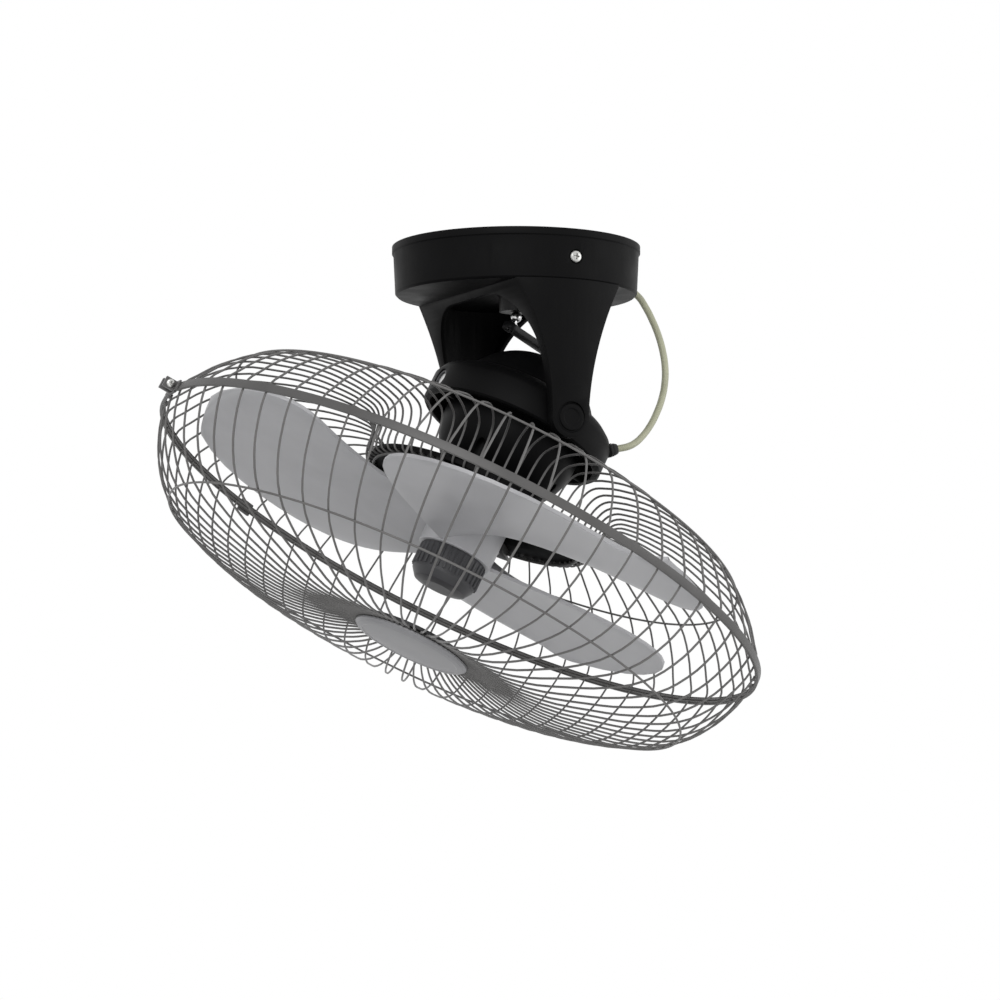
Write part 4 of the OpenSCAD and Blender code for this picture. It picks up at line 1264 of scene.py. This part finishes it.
    def build(self) -> None:
        """Builds both halves, the band, the buckle and the clip."""
        centre_height = self.seat_back - self.rim_ahead - self.wire - self.rim_wire / 2 + 0.3 * MM
        thin = self.thin_ring(self.rear_bend(self.rear_form[self.rear_ring_at]), self.rear_off)
        centre = ring(self.centre_ring, centre_height, self.rim_wire, around=144, across=12)
        rim = ring(self.rim, self.rim_gap - self.rim_ahead, self.rim_wire, around=240, across=12)
        rear = self.cage("rear_cage", self.rear_points(), [rim, thin, centre])
        self.fit(rear, Slot.GUARD_WIRE, "rear_guard")

        thin = self.thin_ring(self.front_bend(self.front_form[self.front_ring_at]), self.front_off)
        centre = ring(self.badge_ring, -self.badge_depth, self.rim_wire, around=96, across=12)
        rim = ring(self.rim, -self.rim_gap - self.rim_ahead, self.rim_wire, around=240, across=12)
        front = self.cage("front_cage", self.front_points(), [rim, thin, centre])
        self.fit(front, Slot.GUARD_WIRE, "front_guard")

        self.fit(self.band(), Slot.GUARD_TRIM, "guard_band")
        self.rounded_copy("band_buckle", Slot.GUARD_TRIM, 0.5 * MM)
        self.rounded_copy("guard_clip", Slot.GUARD_TRIM, 0.5 * MM)
        self.fit(self.buckle_screw(), Slot.ZINC_STEEL, "buckle_screw")

    def band(self) -> Object:
        """Makes the channel-shaped band round both rims, open where the buckle closes it."""
        wall = self.band_thickness
        inside = self.rim_wire + 0.15 * MM
        lip, outer = self.rim - self.rim_wire / 4, self.band_outside
        outline = [(lip, inside), (outer - wall, inside), (outer - wall, -inside), (lip, -inside),
                   (lip, -inside - wall), (outer, -inside - wall), (outer, inside + wall),
                   (lip, inside + wall)]
        half_gap = math.degrees(3 * MM / self.rim)
        band = lathe("band", filleted(outline, 0.35 * MM, 3), steps=240, turn=360 - 2 * half_gap)
        place = (HEAD.matrix @ Matrix.Translation((0, 0, -self.rim_ahead))
                 @ about_axis(self.buckle_at + half_gap))
        return smooth(settle(band, place), 50)

    def buckle_screw(self) -> Object:
        """Makes the screw that draws the ends of the band together."""
        screw = CrossScrew(length=16 * MM)
        seat = Vector((self.band_outside + 4.4 * MM, 6 * MM, -self.rim_ahead))
        place = HEAD.matrix @ about_axis(self.buckle_at) @ facing(seat, Vector((0, 1, 0)))
        return screw.set_of("buckle_screw_made", [place])


@dataclass
class FrontBadge(SubAssembly):
    """The bare badge in the middle of the guard, its backing plate and their screws.

    Attributes:
        face_form: Steps of the badge's face as (in from its edge, ahead of its back), in millimetres.
    """

    body: str = "head"
    radius: float = 42 * MM
    thickness: float = 4.2 * MM
    boss_inset: float = 6.2 * MM
    face_form: tuple[tuple[float, float], ...] = ((0, 1.5), (2, 3.2), (6, 3.9), (7, 3.5), (8, 3.6))
    screw: CrossScrew = CrossScrew(head=2.8 * MM, rise=1.8 * MM)
    screw_circle: float = 24 * MM

    def build(self) -> None:
        """Builds the badge, the plate behind it and the screws."""
        low, high = HEAD.box("front_badge")
        edge, boss, back = self.radius, self.radius - self.boss_inset, low.z + self.thickness
        face = [(edge - inward * MM, back - ahead * MM) for inward, ahead in self.face_form]
        outline = [(0, high.z), (boss, high.z), (boss, back), (edge, back), *face,
                   (edge * 0.5, back - 4.05 * MM), (0, back - self.thickness)]
        badge = smooth(lathe("badge", filleted(outline, 0.6 * MM, 3), steps=128), 50)
        self.fit(settle(badge, HEAD.matrix), Slot.BADGE_GREY, "front_badge")
        self.rounded_copy("badge_back", Slot.BADGE_BACK, 0.4 * MM)
        self.circle_of_screws("badge_screws", self.screw, count=3, start=0, radius=self.screw_circle,
                              facing_front=False)


# ------------------------------------------------------------------ rotor


@dataclass
class Impeller(SubAssembly):
    """The three blades on their hub.

    Attributes:
        middle: Distance of the blades in front of the gimbal centre.
        first_at: Angle of the first blade's root, in degrees.
        sweep: How far the tip lies round from the root, in degrees.
        half_angle: Half of the angle that a blade covers, before its outline narrows it, in degrees.
        root_width: Share of that angle at the root.
        widening: Growth of that share from the root to the tip.
        tip_roundness: Power of the tip's rounding. A higher one gives a squarer tip.
        flattening: Loss of the blade's pitch from the root to the tip, as a share.
        crown: Bulge of the blade's middle at the tip.
        pin_inset: Distance of the drive pin from the hub's rear end.
    """

    body: str = "rotor"
    tip: float = 198 * MM
    hub: float = 27 * MM
    depth: float = 11 * MM
    thickness: float = 2.4 * MM
    middle: float = 91 * MM
    hub_height: float = 28 * MM
    blades: int = 3
    first_at: float = 16
    sweep: float = 22
    spans: int = 20
    chords: int = 14
    half_angle: float = 44
    root_width: float = 0.9
    widening: float = 0.3
    tip_roundness: int = 7
    flattening: float = 0.35
    crown: float = 4 * MM
    pin_inset: float = 3 * MM
    hub_wall: float = 2.5 * MM
    hub_boss: float = 11 * MM
    hub_floor: float = 4 * MM
    bore: float = 4 * MM

    @property
    def hub_back(self) -> float:
        """Height of the hub's rear end in the head frame. The drive pin lies just inside it."""
        low, high = HEAD.box("drive_pin")
        return (low.z + high.z) / 2 + self.pin_inset

    def blade_point(self, along: float, across: float) -> Vector:
        """A point of the blade's middle surface.

        Args:
            along: Share of the way from the root to the tip.
            across: Share across the blade, from -1 at one edge to 1 at the other.

        Returns:
            The point in the head frame.
        """
        root = self.hub - 2 * MM
        radius = root + (self.tip - root) * along
        rounding = math.sqrt(max(0.02, 1 - along**self.tip_roundness))
        half = self.half_angle * (self.root_width + self.widening * along) * rounding
        angle = math.radians(self.sweep * along**2 + half * across)
        pitch = (1 - self.flattening * along) * self.depth * across
        height = pitch - self.middle - self.crown * (1 - across**2) * along
        return Vector((radius * math.cos(angle), radius * math.sin(angle), height))

    def blade(self) -> Object:
        """Makes one blade with rounded edges."""
        bpy.ops.mesh.primitive_grid_add(x_subdivisions=self.spans, y_subdivisions=self.chords, size=1)
        piece = bpy.context.object
        for vertex in piece.data.vertices:
            along = math.sin(math.pi / 2 * (vertex.co.x + 0.5))
            vertex.co = self.blade_point(along, vertex.co.y * 2)
        with editing(piece):
            bpy.ops.mesh.normals_make_consistent(inside=False)
        applied(piece, "SOLIDIFY", thickness=self.thickness, offset=0, use_even_offset=True)
        rounded(piece, self.thickness * 0.42, 3, 50)
        return piece

    def build(self) -> None:
        """Builds the blades and the hub as one moulding."""
        blades = settle(self.blade(), about_axis(self.first_at))
        repeated(blades, self.blades)
        piece = joined("blades_and_hub", [blades, self.ribs(), self.hub_shell()])
        self.fit(smooth(settle(piece, HEAD.matrix), 45), Slot.GREY_BLADE, "impeller")

    def hub_shell(self) -> Object:
        """Makes the hub: a cup with a boss in the middle."""
        back, front = self.hub_back, self.hub_back - self.hub_height
        inside, floor = self.hub - self.hub_wall, front + self.hub_floor
        outline = [(self.bore, back), (self.hub_boss, back), (self.hub_boss, floor), (inside, floor),
                   (inside, back), (self.hub, back), (self.hub, front), (self.bore, front)]
        return lathe("hub", filleted(outline, 0.8 * MM, 3))

    def ribs(self) -> Object:
        """Makes the ribs between the boss and the hub's wall."""
        half, inset = 1.2 * MM, 1 * MM
        low = (self.hub_boss - inset, -half, self.hub_back - self.hub_height + inset)
        high = (self.hub - 1.5 * MM, half, self.hub_back - inset)
        return repeated(rounded(block("rib", low, high), 0.3 * MM, 1), 6)


@dataclass
class Spinner(SubAssembly):
    """The ribbed nut that holds the impeller."""

    body: str = "rotor"
    radius: float = 24 * MM
    length: float = 26 * MM
    bore: float = 4 * MM
    nose: float = 7 * MM
    ribs: int = 30

    def build(self) -> None:
        """Builds the nut with its grip ribs."""
        _, high = HEAD.box("spinner")
        back = high.z
        end, nose = back - self.length, back - self.length + self.nose
        outline = [(self.bore, back), (self.radius, back), (self.radius - 1 * MM, nose),
                   (self.radius - 5 * MM, end + 1.5 * MM), (self.radius - 12 * MM, end), (0, end),
                   (0, nose), (self.bore, nose)]
        nut = lathe("nut", filleted(outline, 1.2 * MM))
        half = 0.9 * MM
        low = (self.radius - 2 * MM, -half, nose + 2 * MM)
        high = (self.radius + 0.6 * MM, half, back - 1 * MM)
        rib = repeated(rounded(block("rib", low, high), 0.5 * MM, 2), self.ribs)
        piece = joined("blade_nut", [nut, rib])
        self.fit(smooth(settle(piece, HEAD.matrix), 45), Slot.DARK_GREY_PLASTIC, "spinner")


@dataclass
class CrankDrive(SubAssembly):
    """The arm of the crank that swings the head."""

    body: str = "crank"

    def build(self) -> None:
        """Builds the arm with rounded edges."""
        self.rounded_copy("crank_arm", Slot.BLACK_COAT, 0.5 * MM)


# ------------------------------------------------------------------ studio


@dataclass
class Studio:
    """The camera at the photograph's angle, soft lamps, a pale floor and a white world."""

    eye: tuple[float, float, float] = (-0.7385, -1.389, -0.2751)
    gaze: tuple[float, float, float] = (0.4622, 0.8847, 0.0611)
    lens: float = 80.47
    sensor: float = 36.0
    floor_height: float = -1.3
    floor_radius: float = 3.0
    ambient: float = 0.55

    def build(self) -> None:
        """Sets up the camera, the floor, the lamps and the world."""
        bpy.context.scene.view_settings.view_transform = "Standard"
        self.camera()
        self.floor()
        self.lamp("key", (-1.6, -2.2, 1.2), size=1.6, power=34)
        self.lamp("fill", (2.2, -1.6, 0.3), size=1.8, power=16)
        self.lamp("below", (-0.6, -1.2, -1.2), size=1.5, power=8)
        self.world()

    def camera(self) -> None:
        """Adds the camera where the photograph was taken from."""
        bpy.ops.object.camera_add(location=self.eye,
                                  rotation=Vector(self.gaze).to_track_quat("-Z", "Y").to_euler())
        camera = bpy.context.object
        camera.data.lens = self.lens
        camera.data.sensor_width = self.sensor
        camera.data.sensor_fit = "HORIZONTAL"
        camera.data.clip_start = 0.05
        bpy.context.scene.camera = camera

    def floor(self) -> None:
        """Adds the round pale floor."""
        bpy.ops.mesh.primitive_circle_add(vertices=96, radius=self.floor_radius, fill_type="NGON",
                                          location=(0, 0, self.floor_height))
        floor = bpy.context.object
        floor.name = "floor"
        paint = bpy.data.materials.new("floor_paint")
        paint.use_nodes = True
        shader = paint.node_tree.nodes["Principled BSDF"]
        shader.inputs["Base Color"].default_value = (0.85, 0.85, 0.85, 1)
        shader.inputs["Roughness"].default_value = 0.7
        floor.data.materials.append(paint)

    def lamp(self, name: str, place: tuple[float, float, float], size: float, power: float) -> None:
        """Adds one soft square lamp that faces the fan.

        Args:
            name: Name of the lamp.
            place: Where it stands.
            size: Length of its sides.
            power: Its power in watts.
        """
        aim = Vector((0, 0, -0.15)) - Vector(place)
        turn = aim.to_track_quat("-Z", "Y").to_euler()
        bpy.ops.object.light_add(type="AREA", location=place, rotation=turn)
        lamp = bpy.context.object
        lamp.name = name
        lamp.data.shape = "SQUARE"
        lamp.data.size = size
        lamp.data.energy = power

    def world(self) -> None:
        """Makes a world that is white to look at and softer as a light."""
        world = bpy.context.scene.world or bpy.data.worlds.new("studio")
        bpy.context.scene.world = world
        world.use_nodes = True
        tree = world.node_tree
        tree.nodes.clear()
        rays = tree.nodes.new("ShaderNodeLightPath")
        seen = rays.outputs["Is Camera Ray"]
        for name in ("Is Glossy Ray", "Is Transmission Ray"):
            either = tree.nodes.new("ShaderNodeMath")
            either.operation = "MAXIMUM"
            tree.links.new(seen, either.inputs[0])
            tree.links.new(rays.outputs[name], either.inputs[1])
            seen = either.outputs[0]
        mix = tree.nodes.new("ShaderNodeMixShader")
        tree.links.new(seen, mix.inputs[0])
        for number, strength in ((1, self.ambient), (2, 1)):
            light = tree.nodes.new("ShaderNodeBackground")
            light.inputs["Color"].default_value = (1, 1, 1, 1)
            light.inputs["Strength"].default_value = strength
            tree.links.new(light.outputs[0], mix.inputs[number])
        output = tree.nodes.new("ShaderNodeOutputWorld")
        tree.links.new(mix.outputs[0], output.inputs[0])


# ------------------------------------------------------------------ main


def main() -> None:
    """Builds the studio and every sub-assembly in order, and reports each piece."""
    logging.basicConfig(level=logging.INFO, format="%(message)s")
    Studio().build()
    dress_frame()
    groups = (CanopyYoke(), LeadCord(), GimbalRing(), MotorHead(), GuardMount(), WireGuard(), FrontBadge(),
              Impeller(), Spinner(), CrankDrive())
    for group in groups:
        group.build()
        for piece in group.pieces:
            log.info("%s: %s, %d faces", type(group).__name__, piece.name, len(piece.data.polygons))


if __name__ == "__main__":
    main()
